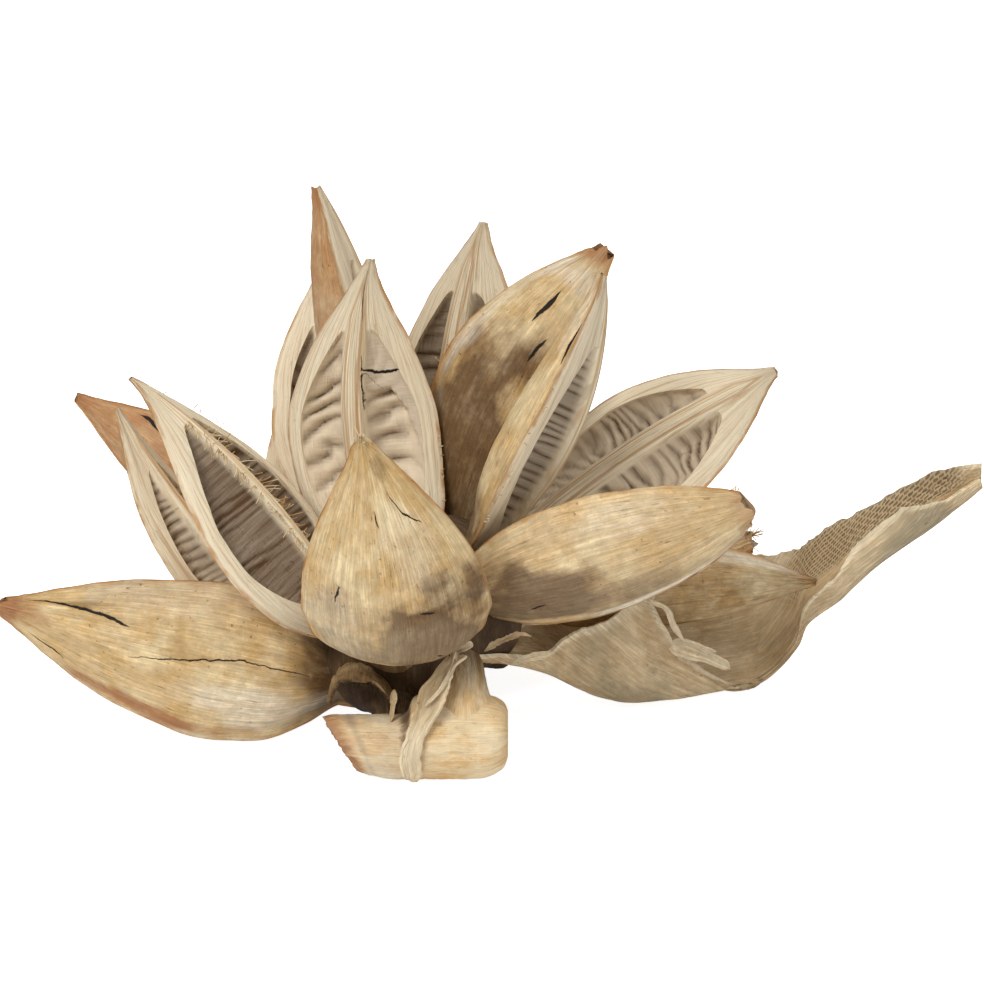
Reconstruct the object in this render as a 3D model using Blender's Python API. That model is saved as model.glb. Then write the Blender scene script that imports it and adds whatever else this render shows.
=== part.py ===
"""Bleached star pod: split, woody seed capsules on a short cut of flower stalk, with a long bract.

Six capsules have each split into three boat-shaped valves. A valve is a wedge of the capsule wall. Its back
is round, its open side is two flat faces that meet in a ridge, the septum, and a seed pocket with cross ribs
is sunk in each face. The valves stand round a knob, the receptacle, on a stalk that lies on its side.

Dimensions are millimetres, turned to metres where a mesh is made. +Z is up, +X is to the right and -Y is the
front. The origin is the middle of the flat foot under the stalk.
"""

from dataclasses import dataclass
from math import atan2, cos, pi, radians, sin

import bpy
import numpy as np

MM = 0.001
CLEARANCE = 0.45

# The valve's outline: share of the length, share of the full half width. The widest point is at 0.5.
OUTLINE = ((0, 0.3), (0.12, 0.58), (0.25, 0.83), (0.37, 0.95), (0.5, 1), (0.6, 0.955), (0.7, 0.83),
           (0.8, 0.63), (0.88, 0.41), (0.94, 0.23), (0.975, 0.14), (1, 0.08))
WALL = 2.4
RIM = 4.6
POCKET_START = 0.1
POCKET_END = 0.79
POCKET_DEPTH = 8.5
POCKET_SLOPE = 1.6
RIBS = 6
RIB_HEIGHT = 0.9
ROOT = 5.0
BACK_CELLS = 6

RECEPTACLE_CENTRE = (2.0, 36.0, 30.0)
RECEPTACLE_COVER = 2.5
RECEPTACLE_UNDERSIDE = 14.0
RECEPTACLE_SMOOTHING = 14.0
RECEPTACLE_RINGS = 12
RECEPTACLE_SIDES = 20

# The stalk's cross-sections from left to right: position, radius, height of the middle.
STALK_SECTIONS = ((-21.5, 7.6, 9.3), (-16, 8.8, 8.9), (-9, 9.2, 8.6), (-3.5, 9.4, 8.8), (-1, 11.6, 11),
                  (3, 12.4, 11.9), (10, 12.5, 12), (17, 12.2, 11.9), (21.5, 11.2, 12), (24.5, 9.2, 12.4),
                  (25.6, 6.5, 12.6))
STALK_CENTRE_Y = 2.0
STALK_SIDES = 20
STALK_CUT_LEAN = 0.55
STALK_CUT_TURN = 0.35
# The two necks that carry the receptacle on the stalk: positions from the stalk up, with a radius.
FRONT_NECK = ((13, 3, 13, 10.5), (13.5, 4, 21, 7.5), (13.5, 8, 27, 5.5), (11, 16, 31, 6.5), (8, 28, 33, 8))
REAR_NECK = ((-5, 7, 8.5, 7), (-6, 15, 13, 7.5), (-6, 21, 19, 8.5), (-3, 28, 26, 10))
NECKS = {"front_neck": FRONT_NECK, "rear_neck": REAR_NECK}
NECK_SIDES = 12

# The torn sheath on the stalk's front, from the bottom up: left, right, depth, height.
SHEATH_ROWS = ((-2.6, 1, -6.9, 3), (-4, 1.3, -9.5, 5.6), (-4.8, 2, -11.1, 12), (-3, 4, -10.2, 17.6),
               (-1.6, 7, -8.4, 22.5), (0.4, 9.4, -6.2, 27), (3.4, 10.6, -4.4, 31))
SHEATH_WALL = 0.9

# The curled stub of a bract on the stalk's back left: an arch of positions and heights, drawn out in depth.
STUB_ARCH = ((-25.5, 20.5), (-24, 25), (-20.5, 28), (-15, 28.2), (-10, 25.5), (-7.2, 21), (-6.6, 16))
STUB_DEPTHS = (3.5, 8, 13, 18, 22)
STUB_NARROWING = (1.0, 1.02, 0.96, 0.88, 0.78)
STUB_WALL = 1.2

BRACT_WALL = 1.5
BRACT_ROWS = 30
BRACT_NEAR_CELLS = 5
BRACT_FAR_CELLS = 7
BRACT_LIP = 1.2


@dataclass(frozen=True)
class Valve:
    """One valve: where its base and tip are, which way its open side faces, and its cross-section.

    The rise is how far the septum stands above the rims, and the depth is how far the back lies below them,
    both as shares of the half width. The belly is the share of the length where the valve is widest. The bow
    moves the middle of the length towards the open side, and the sway moves it across. The septum is half of
    that ridge's own width. The cut is the share of the length that is broken off at the tip. A beak above
    one makes the tip slimmer.
    """

    name: str
    base: tuple
    tip: tuple
    opens: tuple
    width: float
    rise: float
    depth: float
    belly: float
    bow: float
    sway: float
    septum: float
    cut: float
    beak: float


VALVES = (
    Valve("valve_left_low", (-21.7, 32.0, 14.9), (-119.7, 30.0, 39.4), (-0.10, 0.94, -0.32),
          45, 0.45, 0.5, 0.33, 0, 1.5, 2, 0.03, 1),
    Valve("valve_left_middle", (-27.7, 38.0, 20.2), (-86.0, 48.0, 93.4), (0.66, -0.46, 0.59),
          29, 0.58, 0.3, 0.42, -3, -1.5, 2.0, 0, 1),
    Valve("valve_left_front", (-17.0, 20.0, 37.6), (-80.4, 36.0, 107.2), (0.62, -0.42, 0.66),
          45, 0.5, 0.34, 0.36, 9, 0, 1.3, 0, 1.35),
    Valve("valve_left_back", (-21.2, 62.0, 27.1), (-104.3, 96.0, 79.0), (0.14, 0.91, -0.38),
          30, 0.45, 0.42, 0.42, 0, -2.5, 2, 0.01, 1),
    Valve("valve_rear_tall", (-2.3, 72.0, 39.0), (-29.9, 103.0, 142.8), (0.96, 0.22, 0.19),
          36.5, 0.62, 0.5, 0.5, 8, 0, 2, 0, 0.9),
    Valve("valve_rear_left", (-14.2, 69.0, 35.1), (-30.9, 140.0, 107.2), (0.33, -0.63, 0.70),
          33, 0.5, 0.4, 0.45, 0, -6, 2, 0, 1),
    Valve("valve_centre", (-6.0, 32.0, 40.4), (-13.7, 60.0, 134.5), (-0.23, -0.94, 0.26),
          46.5, 0.5, 0.34, 0.44, 0, -9.5, 3.4, 0, 1.15),
    Valve("valve_front", (-6.1, 14.0, 36.0), (-12.6, -28.0, 113.7), (0.02, 0.88, 0.48),
          53, 0.45, 0.52, 0.36, 0, -4, 2, 0.01, 1),
    Valve("valve_rear_middle", (7.4, 63.0, 39.6), (18.1, 98.0, 133.2), (-0.44, -0.82, 0.36),
          46, 0.5, 0.38, 0.45, 0, -7, 3.2, 0, 1.05),
    Valve("valve_right_tall", (9.3, 58.0, 45.6), (53.9, 78.0, 130.9), (0.19, 0.93, -0.32),
          38, 0.5, 0.46, 0.48, 0, 7.5, 2, 0.045, 1.0),
    Valve("valve_right_narrow", (17.7, 22.0, 58.4), (52.5, 29.0, 139.0), (0.90, -0.22, -0.37),
          39, 0.58, 0.45, 0.45, 11, 0, 1.6, 0, 1),
    Valve("valve_right_middle", (23.4, 46.0, 49.4), (102.5, 56.0, 101.8), (-0.27, -0.78, 0.56),
          41, 0.5, 0.4, 0.5, 0, -4.5, 3.2, 0, 1),
    Valve("valve_right_front", (11.5, 20.0, 48.8), (92.1, 6.0, 81.1), (0.14, 0.99, 0.08),
          37, 0.45, 0.45, 0.42, 0, 1.8, 2, 0.1, 1),
    Valve("valve_right_back", (20.5, 57.0, 35.7), (98.4, 73.0, 42.5), (-0.21, 0.97, 0.12),
          23, 0.45, 0.4, 0.42, 0, -1.5, 2, 0.1, 1),
    Valve("valve_right_low", (23.4, 44.0, 36.0), (116.9, 54.0, 36.7), (-0.11, 0.99, -0.04),
          27, 0.45, 0.45, 0.45, 0, 4, 2, 0, 1),
    Valve("valve_back_left", (-16.0, 66.0, 25.9), (-42.9, 126.0, 66.3), (0.62, -0.22, 0.75),
          34, 0.5, 0.4, 0.45, 0, 0, 2, 0, 1),
    Valve("valve_back_low", (0, 62, 21.2), (-14, 146, 21), (0, -0.1, 0.98),
          42, 0.5, 0.4, 0.42, -2, 0, 2, 0, 1),
    Valve("valve_back_right", (18, 60, 27), (70, 135, 34), (-0.1, -0.2, 0.97),
          40, 0.5, 0.4, 0.45, 0, 0, 2, 0, 1),
)

# The bract's keel and its two upper edges, from the stalk out to the tip.
BRACT_KEEL = ((14, 14, 28.5), (23, 18, 27.3), (35, 29, 19.6), (46, 38, 10.5), (57, 45, 4.2), (66, 46, 2.9),
              (75, 47, 2.6), (83, 49, 2.6), (94, 52, 2.8), (103, 57, 3.4), (112, 58, 13.1), (115, 58, 21.7),
              (123, 56, 29.7), (132, 55, 39.2), (146, 57, 49.2), (156, 60, 56.3), (165, 61, 63.8))
BRACT_NEAR_EDGE = ((13, 9, 32.1), (23, 13, 31.2), (35, 21, 27.4), (45, 24, 33.6), (56, 26, 37.7),
                   (64, 28, 45.6), (74, 35, 25.4), (82, 43, 14.6), (94, 53, 3.3), (102, 56, 4.5),
                   (111, 57, 14.3), (114, 53, 28.8), (122, 49, 40.8), (128, 47, 52.5), (141, 50, 61.3),
                   (153, 55, 61.8), (164, 59, 67.1))
BRACT_FAR_EDGE = ((15, 20, 29.5), (23, 30, 31.8), (37, 47, 27.9), (50, 64, 23.5), (60, 77, 27.0),
                  (70, 82, 28.1), (79, 82, 29.5), (88, 84, 29.9), (99, 84, 31.6), (107, 83, 33.0),
                  (113, 80, 35.9), (118, 78, 40.0), (124, 76, 45.8), (132, 73, 51.6), (142, 70, 59.2),
                  (153, 67, 66.8), (165, 64, 69.9))


def unit(vector):
    """The vector at length one."""
    vector = np.asarray(vector, float)
    return vector / np.linalg.norm(vector)


def smooth_through(points, at):
    """A smooth curve through number pairs, read at a value of the first column."""
    points = np.asarray(points, float)
    place = np.interp(at, points[:, 0], np.arange(len(points)))
    return float(catmull(points[:, 1:], place)[0, 0])


def catmull(values, place):
    """Rows of values read at fractional row numbers, smoothly."""
    last = len(values) - 1
    place = np.clip(np.atleast_1d(place), 0, last)
    row = np.minimum(place.astype(int), last - 1)
    share = (place - row)[:, None]
    before = values[np.maximum(row - 1, 0)]
    start, end = values[row], values[row + 1]
    after = values[np.minimum(row + 2, last)]
    return 0.5 * (2 * start + (end - before) * share
                  + (2 * before - 5 * start + 4 * end - after) * share ** 2
                  + (3 * start - 3 * end + after - before) * share ** 3)


def outline(share, belly, beak):
    """Share of the full half width at a share of the length, with the widest point at belly."""
    if share < belly:
        return smooth_through(OUTLINE, 0.5 * share / belly)
    return smooth_through(OUTLINE, 0.5 + 0.5 * (share - belly) / (1 - belly)) ** beak


def valve_stations():
    """Shares of the length where the cross-sections stand, two for each rib and a few for the solid ends."""
    pocket = np.linspace(POCKET_START, POCKET_END, 2 * RIBS + 1)
    return np.concatenate([[0.0, 0.05], pocket, [0.85, 0.9, 0.95, 1.0]])


def pocket_width(share):
    """How wide the seed pocket is at a share of the length, as a share of its full width."""
    middle, half = (POCKET_START + POCKET_END) / 2, (POCKET_END - POCKET_START) / 2
    off = np.clip(abs(share - middle) / half, 0, 1)
    return (1 - off ** 2.6) ** 0.5


def back_arc(half, depth):
    """Points of the round back from the right rim to the left one, and a function for its height."""
    radius = (half ** 2 + depth ** 2) / (2 * depth)
    span = 2 * atan2(depth, half)
    points = []
    for step in range(1, BACK_CELLS):
        angle = span * (1 - 2 * step / BACK_CELLS)
        points.append((radius * sin(angle), radius - depth - radius * cos(angle)))
    return points, lambda y: radius - depth - (radius ** 2 - y ** 2) ** 0.5


def valve_section(valve, share, rib):
    """One cross-section: the open side's points from left to right, then the back's from right to left."""
    half = valve.width / 2 * outline(share * (1 - valve.cut), valve.belly, valve.beak)
    rise = valve.rise * half
    arc, under = back_arc(half, valve.depth * half)
    septum = min(valve.septum, 0.35 * half)
    wide = float(pocket_width(share))
    outer = septum + max(half - RIM - septum, 0.1 * half) * (0.25 + 0.75 * wide)
    slope = min(POCKET_SLOPE, 0.25 * (outer - septum))

    def face(y):
        return -rise * y / half

    def floor(y, ripple):
        room = face(y) + rise - under(y) - WALL
        return face(y) - wide * max(min(room, POCKET_DEPTH) - ripple, 0)

    right = []
    for y, ripple in ((septum + slope, 0.4), ((septum + outer) / 2, 1), (outer - slope, 0.6)):
        right.append((y, floor(y, ripple * rib)))
    right = [(septum, face(septum)), *right, (outer, face(outer)), (half, face(half))]
    left = [(-y, z) for y, z in reversed(right)]
    return left + right, [(y, z - rise) for y, z in arc]


def closed_loft(name, loops, material):
    """An object that joins closed loops of the same number of points, with a flat cap at each end."""
    count = len(loops[0])
    points = [tuple(np.asarray(point) * MM) for loop in loops for point in loop]
    faces = []
    for row in range(len(loops) - 1):
        for column in range(count):
            after = (column + 1) % count
            first, second = row * count, (row + 1) * count
            faces.append((first + column, first + after, second + after))
            faces.append((first + column, second + after, second + column))
    faces.append(tuple(reversed(range(count))))
    faces.append(tuple(range((len(loops) - 1) * count, len(loops) * count)))
    mesh = bpy.data.meshes.new(name)
    mesh.from_pydata(points, [], faces)
    mesh.validate()
    mesh.shade_smooth()
    mesh.set_sharp_from_angle(angle=radians(38))
    mesh.materials.append(material)
    made = bpy.data.objects.new(name, mesh)
    bpy.context.scene.collection.objects.link(made)
    return made


def valve_frame(valve):
    """The valve's own axes in the part: along its length, across it, and out of its open side."""
    along = unit(np.subtract(valve.tip, valve.base))
    opens = np.asarray(valve.opens, float)
    opens = unit(opens - along * (opens @ along))
    return along, np.cross(along, opens), opens


def valve_loops(valve):
    """Every cross-section of a valve in the part's frame, from the root inside the receptacle to the tip."""
    along, across, opens = valve_frame(valve)
    length = float(np.linalg.norm(np.subtract(valve.tip, valve.base)))
    loops = []
    for number, share in enumerate(valve_stations()):
        rib = RIB_HEIGHT * (1 if number % 2 else -1)
        front, back = valve_section(valve, share, rib)
        shift = (opens * valve.bow + across * valve.sway) * (4 * share * (1 - share))
        middle = np.asarray(valve.base, float) + along * (length * share) + shift
        if number == 0:
            middle = middle - along * ROOT
        loops.append([middle + across * y + opens * z for y, z in reversed(front + back)])
    return loops


def receptacle_radius(direction):
    """Distance from the receptacle's centre to its surface, just past each valve's base."""
    centre = np.asarray(RECEPTACLE_CENTRE)
    weights, reach = [], []
    for valve in VALVES:
        offset = np.subtract(valve.base, centre)
        distance = float(np.linalg.norm(offset))
        weights.append(np.exp(RECEPTACLE_SMOOTHING * (direction @ offset / distance - 1)))
        reach.append(distance + RECEPTACLE_COVER)
    weights.append(np.exp(RECEPTACLE_SMOOTHING * (-direction[2] - 1)) + 1e-3)
    reach.append(RECEPTACLE_UNDERSIDE)
    return float(np.dot(weights, reach) / np.sum(weights))


def make_receptacle(name, grown, material):
    """The knob that the valves stand on, grown outwards by a clearance where it is used as a cutter."""
    loops = []
    for ring in range(RECEPTACLE_RINGS):
        polar = pi * (1 - (ring + 0.5) / RECEPTACLE_RINGS)
        loop = []
        for side in range(RECEPTACLE_SIDES):
            turn = 2 * pi * side / RECEPTACLE_SIDES
            direction = np.array([sin(polar) * cos(turn), sin(polar) * sin(turn), cos(polar)])
            loop.append(np.add(RECEPTACLE_CENTRE, direction * (receptacle_radius(direction) + grown)))
        loops.append(loop)
    return closed_loft(name, loops, material)


def make_log(name, grown, material):
    """The cut stalk on its side, with a flat foot and a slanting cut at its left end.

    It is grown by a clearance where it is a cutter.
    """
    loops = []
    for number, (x, radius, height) in enumerate(STALK_SECTIONS):
        slant = max(1 - number / 3, 0)
        loop = []
        for side in range(STALK_SIDES):
            turn = 2 * pi * side / STALK_SIDES
            y, z = (radius + grown) * cos(turn), max(height + (radius + grown) * sin(turn), -grown)
            lean = slant * (STALK_CUT_LEAN * (height - z) - STALK_CUT_TURN * y)
            loop.append((x + lean, STALK_CENTRE_Y + y, z))
        loops.append(loop)
    return closed_loft(name, loops, material)


def make_neck(name, path, grown, material):
    """A short neck that carries the receptacle on the stalk, grown by a clearance where it is a cutter."""
    path = np.asarray(path, float)
    loops = []
    for number, (x, y, z, radius) in enumerate(path):
        before, after = path[max(number - 1, 0), :3], path[min(number + 1, len(path) - 1), :3]
        along = unit(after - before)
        side = unit(np.cross(along, (1, 0, 0)))
        other = np.cross(along, side)
        loop = []
        for step in range(NECK_SIDES):
            turn = 2 * pi * step / NECK_SIDES
            loop.append((x, y, z) + (radius + grown) * (side * cos(turn) + other * sin(turn)))
        loops.append(loop)
    return closed_loft(name, loops, material)


def make_sheath(material):
    """The pale torn sheath: a thin strip up the stalk's front that stands away from the neck at its top."""
    rows = np.asarray(SHEATH_ROWS, float)
    slope = np.gradient(rows[:, 2:], axis=0)
    loops = []
    for (left, right, y, z), (step_y, step_z) in zip(rows, slope):
        length = (step_y ** 2 + step_z ** 2) ** 0.5
        outward = np.array([0, -step_z, step_y]) / length * SHEATH_WALL
        middle = (left + right) / 2
        front = [np.array([x, y, z]) + outward for x in (left, middle, right)]
        back = [np.array([x, y, z]) for x in (right, middle, left)]
        loops.append(front + back)
    return closed_loft("sheath", loops, material)


def make_stub(material):
    """The stub of a broken bract: a thin curled arch over the stalk's left end."""
    arch = np.asarray(STUB_ARCH, float)
    centre = arch.mean(axis=0)
    step = np.gradient(arch, axis=0)
    inward = np.stack([step[:, 1], -step[:, 0]], axis=1)
    inward *= STUB_WALL / np.linalg.norm(inward, axis=1, keepdims=True)
    loops = []
    for depth, narrowing in zip(STUB_DEPTHS, STUB_NARROWING):
        outer = centre + (arch - centre) * narrowing
        ring = [*outer, *(outer + inward)[::-1]]
        loops.append([(x, depth, z) for x, z in ring])
    return closed_loft("bract_stub", loops, material)


def as_guide(made):
    """Keeps a helper shape out of the part."""
    made.hide_render = True
    made.display_type = "WIRE"
    return made


def add_boolean(made, other, operation):
    """Joins or cuts an object with another one."""
    step = made.modifiers.new(f"{operation.lower()} {other.name}", "BOOLEAN")
    step.operation = operation
    step.object = other


def bract_surface(share, across):
    """A point of the bract's outside.

    The share runs from the stalk to the tip, and across from -1 at the near edge to 1 at the far edge.
    """
    keel, near, far = (catmull(np.asarray(line, float), share * (len(line) - 1))[0]
                       for line in (BRACT_KEEL, BRACT_NEAR_EDGE, BRACT_FAR_EDGE))
    edge = near if across < 0 else far
    reach = edge - keel
    height = max(float(np.linalg.norm(reach)), BRACT_LIP)
    sideways = unit((0.25 * reach[0] / height, -1 if across < 0 else 1, 0))
    bend = keel + sideways * 0.5 * height
    edge = keel + unit(reach) * height
    way = abs(across)
    return (1 - way) ** 2 * keel + 2 * way * (1 - way) * bend + way ** 2 * edge


def make_bract(material):
    """The boat-shaped bract: one curved sheet with a near wall, a keel and a far wall."""
    steps = [-1 + column / BRACT_NEAR_CELLS for column in range(BRACT_NEAR_CELLS)]
    steps += [column / BRACT_FAR_CELLS for column in range(BRACT_FAR_CELLS + 1)]
    outside = np.array([[bract_surface(row / BRACT_ROWS, step) for step in steps]
                        for row in range(BRACT_ROWS + 1)])
    lengthwise = np.gradient(outside, axis=0)
    crosswise = np.gradient(outside, axis=1)
    normal = np.cross(lengthwise, crosswise)
    normal /= np.linalg.norm(normal, axis=2, keepdims=True)
    inside = outside + normal * BRACT_WALL
    loops = [[*inside[row], *outside[row][::-1]] for row in range(BRACT_ROWS + 1)]
    return closed_loft("bract", loops, material)


def make_material(name, colour, roughness):
    """A dry, matt plant surface."""
    material = bpy.data.materials.new(name)
    material.use_nodes = True
    shader = material.node_tree.nodes["Principled BSDF"]
    shader.inputs["Base Color"].default_value = (*colour, 1)
    shader.inputs["Roughness"].default_value = roughness
    shader.inputs["Metallic"].default_value = 0
    return material


def main():
    """Builds every piece of the part."""
    for old in list(bpy.data.objects):
        bpy.data.objects.remove(old)
    shell = make_material("woody capsule wall", (0.62, 0.5, 0.33), 0.75)
    pith = make_material("dry stalk", (0.66, 0.52, 0.34), 0.85)
    leaf = make_material("dry bract", (0.52, 0.44, 0.32), 0.8)
    knob = as_guide(make_receptacle("receptacle", 0, pith))
    necks = [as_guide(make_neck(name, path, 0, pith)) for name, path in NECKS.items()]
    cutters = [as_guide(make_receptacle("receptacle_clearance", CLEARANCE, pith))]
    for name, path in NECKS.items():
        cutters.append(as_guide(make_neck(f"{name}_clearance", path, CLEARANCE, pith)))
    cutters.append(as_guide(make_log("log_clearance", CLEARANCE, pith)))
    stalk = make_log("stalk", 0, pith)
    for addition in (*necks, knob):
        add_boolean(stalk, addition, "UNION")
    for valve in VALVES:
        add_boolean(closed_loft(valve.name, valve_loops(valve), shell), cutters[0], "DIFFERENCE")
    for piece in (make_bract(leaf), make_sheath(leaf), make_stub(leaf)):
        for cutter in cutters:
            add_boolean(piece, cutter, "DIFFERENCE")


main()
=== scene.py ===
"""Bleached star pod: split woody seed capsules on a cut flower stalk, with one long boat-shaped bract.

Every visual piece is built over its CAD node, from the same measures and at a finer pitch, in millimetres.
The fine relief and the masks for rims, seed pockets, stains and cracks are worked out for each vertex, and
the materials read them as attributes.
"""

import logging
from dataclasses import dataclass
from enum import IntEnum
from math import cos, pi, radians, sin

import bpy
import numpy as np
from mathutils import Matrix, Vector


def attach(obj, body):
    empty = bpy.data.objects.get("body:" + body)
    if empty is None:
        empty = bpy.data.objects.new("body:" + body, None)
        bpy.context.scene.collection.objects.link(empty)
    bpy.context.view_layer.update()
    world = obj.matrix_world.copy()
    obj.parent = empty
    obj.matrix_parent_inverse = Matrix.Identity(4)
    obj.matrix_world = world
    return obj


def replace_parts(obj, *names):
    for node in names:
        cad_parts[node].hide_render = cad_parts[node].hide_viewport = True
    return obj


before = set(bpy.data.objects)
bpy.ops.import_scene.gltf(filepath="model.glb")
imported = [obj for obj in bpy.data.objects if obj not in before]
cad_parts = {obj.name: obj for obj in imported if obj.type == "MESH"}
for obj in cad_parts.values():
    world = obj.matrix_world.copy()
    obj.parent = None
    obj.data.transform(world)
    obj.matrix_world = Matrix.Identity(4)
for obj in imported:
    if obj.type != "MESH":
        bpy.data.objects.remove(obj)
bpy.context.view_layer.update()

LOG = logging.getLogger("star_pod")
MM = 0.001
Point = tuple[float, float, float]
Socket = bpy.types.NodeSocket
Value = Socket | float | tuple
Inputs = dict[str | int, Value]

# Numbers that turn a cell of the noise and a seed into evenly spread random bits.
CELL_PRIMES = (73856093, 19349663, 83492791)
SEED_PRIME = 40503
MIXERS = ((13, 1274126177), (15, 2246822519))
LOW_BITS = 0xFFFFFFFF


def unit(vector: np.ndarray) -> np.ndarray:
    """Gives vectors at length one.

    Args:
        vector: One vector, or an array of them along its last axis.

    Returns:
        The same directions at length one.
    """
    vector = np.asarray(vector, float)
    return vector / np.maximum(np.linalg.norm(vector, axis=-1, keepdims=True), 1e-12)


def linear(colour: str) -> tuple[float, float, float, float]:
    """Turns an sRGB hex colour into linear values.

    Args:
        colour: Six hex digits.

    Returns:
        Linear red, green, blue and an alpha of one.
    """
    parts = [int(colour[k:k + 2], 16) / 255 for k in (0, 2, 4)]
    # The sRGB curve: a straight piece for the darkest values and a power above them.
    red, green, blue = (p / 12.92 if p <= 0.04045 else ((p + 0.055) / 1.055) ** 2.4 for p in parts)
    return red, green, blue, 1.0


def smooth_step(value: np.ndarray, low: float, high: float) -> np.ndarray:
    """Eases from 0 at low to 1 at high.

    Args:
        value: Values to ease.
        low: Where the result starts to rise.
        high: Where the result reaches one. It may be below low.

    Returns:
        Eased values from 0 to 1.
    """
    share = np.clip((np.asarray(value, float) - low) / (high - low), 0, 1)
    return share * share * (3 - 2 * share)


def lattice_noise(points: np.ndarray, seed: int) -> np.ndarray:
    """Smooth random values from -1 to 1, the same for the same seed.

    Args:
        points: Positions in cells of the noise, in an array whose last axis has three columns.
        seed: Which pattern.

    Returns:
        One value for each position.
    """
    base = np.floor(points).astype(np.int64)
    part = points - base
    ease = part * part * (3 - 2 * part)
    total = np.zeros(points.shape[:-1])
    for corner in range(8):
        offset = np.array([corner & 1, corner >> 1 & 1, corner >> 2 & 1])
        cell = (base + offset) * CELL_PRIMES
        mixed = cell[..., 0] ^ cell[..., 1] ^ cell[..., 2] ^ seed * SEED_PRIME
        for shift, factor in MIXERS:
            mixed = ((mixed ^ mixed >> shift) * factor) & LOW_BITS
        value = (mixed >> 8 & 0xFFFF) / 32767.5 - 1
        total += np.prod(np.where(offset, ease, 1 - ease), axis=-1) * value
    return total


def cloud(along: np.ndarray, across: np.ndarray, seed: int, octaves: int = 3) -> np.ndarray:
    """Layered noise over a surface.

    Args:
        along: First coordinate, in cells of the coarsest layer.
        across: Second coordinate, in the same cells.
        seed: Which pattern.
        octaves: How many layers, each twice as fine and half as strong.

    Returns:
        Values from about -1 to 1.
    """
    along, across = np.broadcast_arrays(along, across)
    total, weight = np.zeros(along.shape), 1.0
    for octave in range(octaves):
        scale = 2.0 ** octave
        points = np.stack([along * scale, across * scale, np.full(along.shape, octave * 7.3)], axis=-1)
        total += weight * lattice_noise(points, seed + octave * 101)
        weight *= 0.5
    return total


def catmull(values: np.ndarray, place: np.ndarray) -> np.ndarray:
    """Reads rows of values at fractional row numbers, smoothly.

    Args:
        values: Rows of values.
        place: Row numbers, with fractions.

    Returns:
        One row for each place.
    """
    last = len(values) - 1
    place = np.clip(np.atleast_1d(place), 0, last)
    row = np.minimum(place.astype(int), last - 1)
    share = (place - row)[:, None]
    before, start = values[np.maximum(row - 1, 0)], values[row]
    end, after = values[row + 1], values[np.minimum(row + 2, last)]
    return 0.5 * (2 * start + (end - before) * share
                  + (2 * before - 5 * start + 4 * end - after) * share ** 2
                  + (3 * start - 3 * end + after - before) * share ** 3)


def smooth_through(points: tuple[tuple[float, float], ...], at: np.ndarray) -> np.ndarray:
    """Reads a smooth curve through number pairs.

    Args:
        points: Pairs of place and value.
        at: Places to read.

    Returns:
        A value for each place.
    """
    table = np.asarray(points, float)
    return catmull(table[:, 1:], np.interp(at, table[:, 0], np.arange(len(table))))[:, 0]


# Measures of the CAD part, in millimetres. The class that uses a table says what its columns are.
STALK_POINTS = ((-21.5, 7.6, 9.3), (-16, 8.8, 8.9), (-9, 9.2, 8.6), (-3.5, 9.4, 8.8), (-1, 11.6, 11),
                (3, 12.4, 11.9), (10, 12.5, 12), (17, 12.2, 11.9), (21.5, 11.2, 12), (24.5, 9.2, 12.4),
                (25.6, 6.5, 12.6))
SHEATH_POINTS = ((-2.6, 1, -6.9, 3), (-4, 1.3, -9.5, 5.6), (-4.8, 1.6, -11.1, 12), (-3, 2.6, -10.4, 17.6),
                 (-1.6, 5, -9, 22.5), (0.2, 8, -6.8, 27), (2, 9.6, -4.8, 31), (5, 10.6, -2.6, 35),
                 (9.2, 15, -0.6, 38.3))
STUB_POINTS = ((-25.5, 20.5), (-24, 25), (-20.5, 28), (-15, 28.2), (-10, 25.5), (-7.2, 21), (-6.6, 16))
KEEL_POINTS = ((14, 14, 28.5), (23, 18, 27.3), (35, 29, 19.6), (46, 38, 10.5), (57, 45, 4.2), (66, 46, 2.9),
               (75, 47, 2.6), (83, 49, 2.6), (94, 52, 2.8), (103, 57, 3.4), (112, 58, 13.1), (115, 58, 21.7),
               (123, 56, 29.7), (132, 55, 39.2), (146, 57, 49.2), (156, 60, 56.3), (165, 61, 63.8))
NEAR_POINTS = ((13, 9, 32.1), (23, 13, 31.2), (35, 21, 27.4), (45, 24, 33.6), (56, 26, 37.7), (64, 28, 45.6),
               (74, 35, 25.4), (82, 43, 14.6), (94, 53, 3.3), (102, 56, 4.5), (111, 57, 14.3),
               (114, 53, 28.8), (122, 49, 40.8), (128, 47, 52.5), (141, 50, 61.3), (153, 55, 61.8),
               (164, 59, 67.1))
FAR_POINTS = ((15, 20, 29.5), (23, 30, 31.8), (37, 47, 27.9), (50, 64, 23.5), (60, 77, 27.0), (70, 82, 28.1),
              (79, 82, 29.5), (88, 84, 29.9), (99, 84, 31.6), (107, 83, 33.0), (113, 80, 35.9),
              (118, 78, 40.0), (124, 76, 45.8), (132, 73, 51.6), (142, 70, 59.2), (153, 67, 66.8),
              (165, 64, 69.9))


class Stain(IntEnum):
    """The channels of the stain attribute. The brown one also carries painted shade at the valves' bases and
    in the hollows round the stalk.
    """

    BROWN = 0
    GREY = 1
    PALE = 2
    RED = 3


BROWN, GREY, PALE, RED = Stain


@dataclass(frozen=True)
class Spot:
    """A soft-edged area of one stain on a surface.

    Attributes:
        kind: Which stain.
        outside: Whether it is on the round back, and not on the open side.
        along: Share of the length, from base to tip, of its middle.
        across: Its middle from -1 at the left edge to 1 at the right edge, as seen from that side, tip up.
        length: Half its length, as a share of the surface's length.
        width: Half its width, in the units of across.
        strength: How full the stain is in its middle.
    """

    kind: Stain
    outside: bool
    along: float
    across: float
    length: float
    width: float
    strength: float = 1.0


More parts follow.
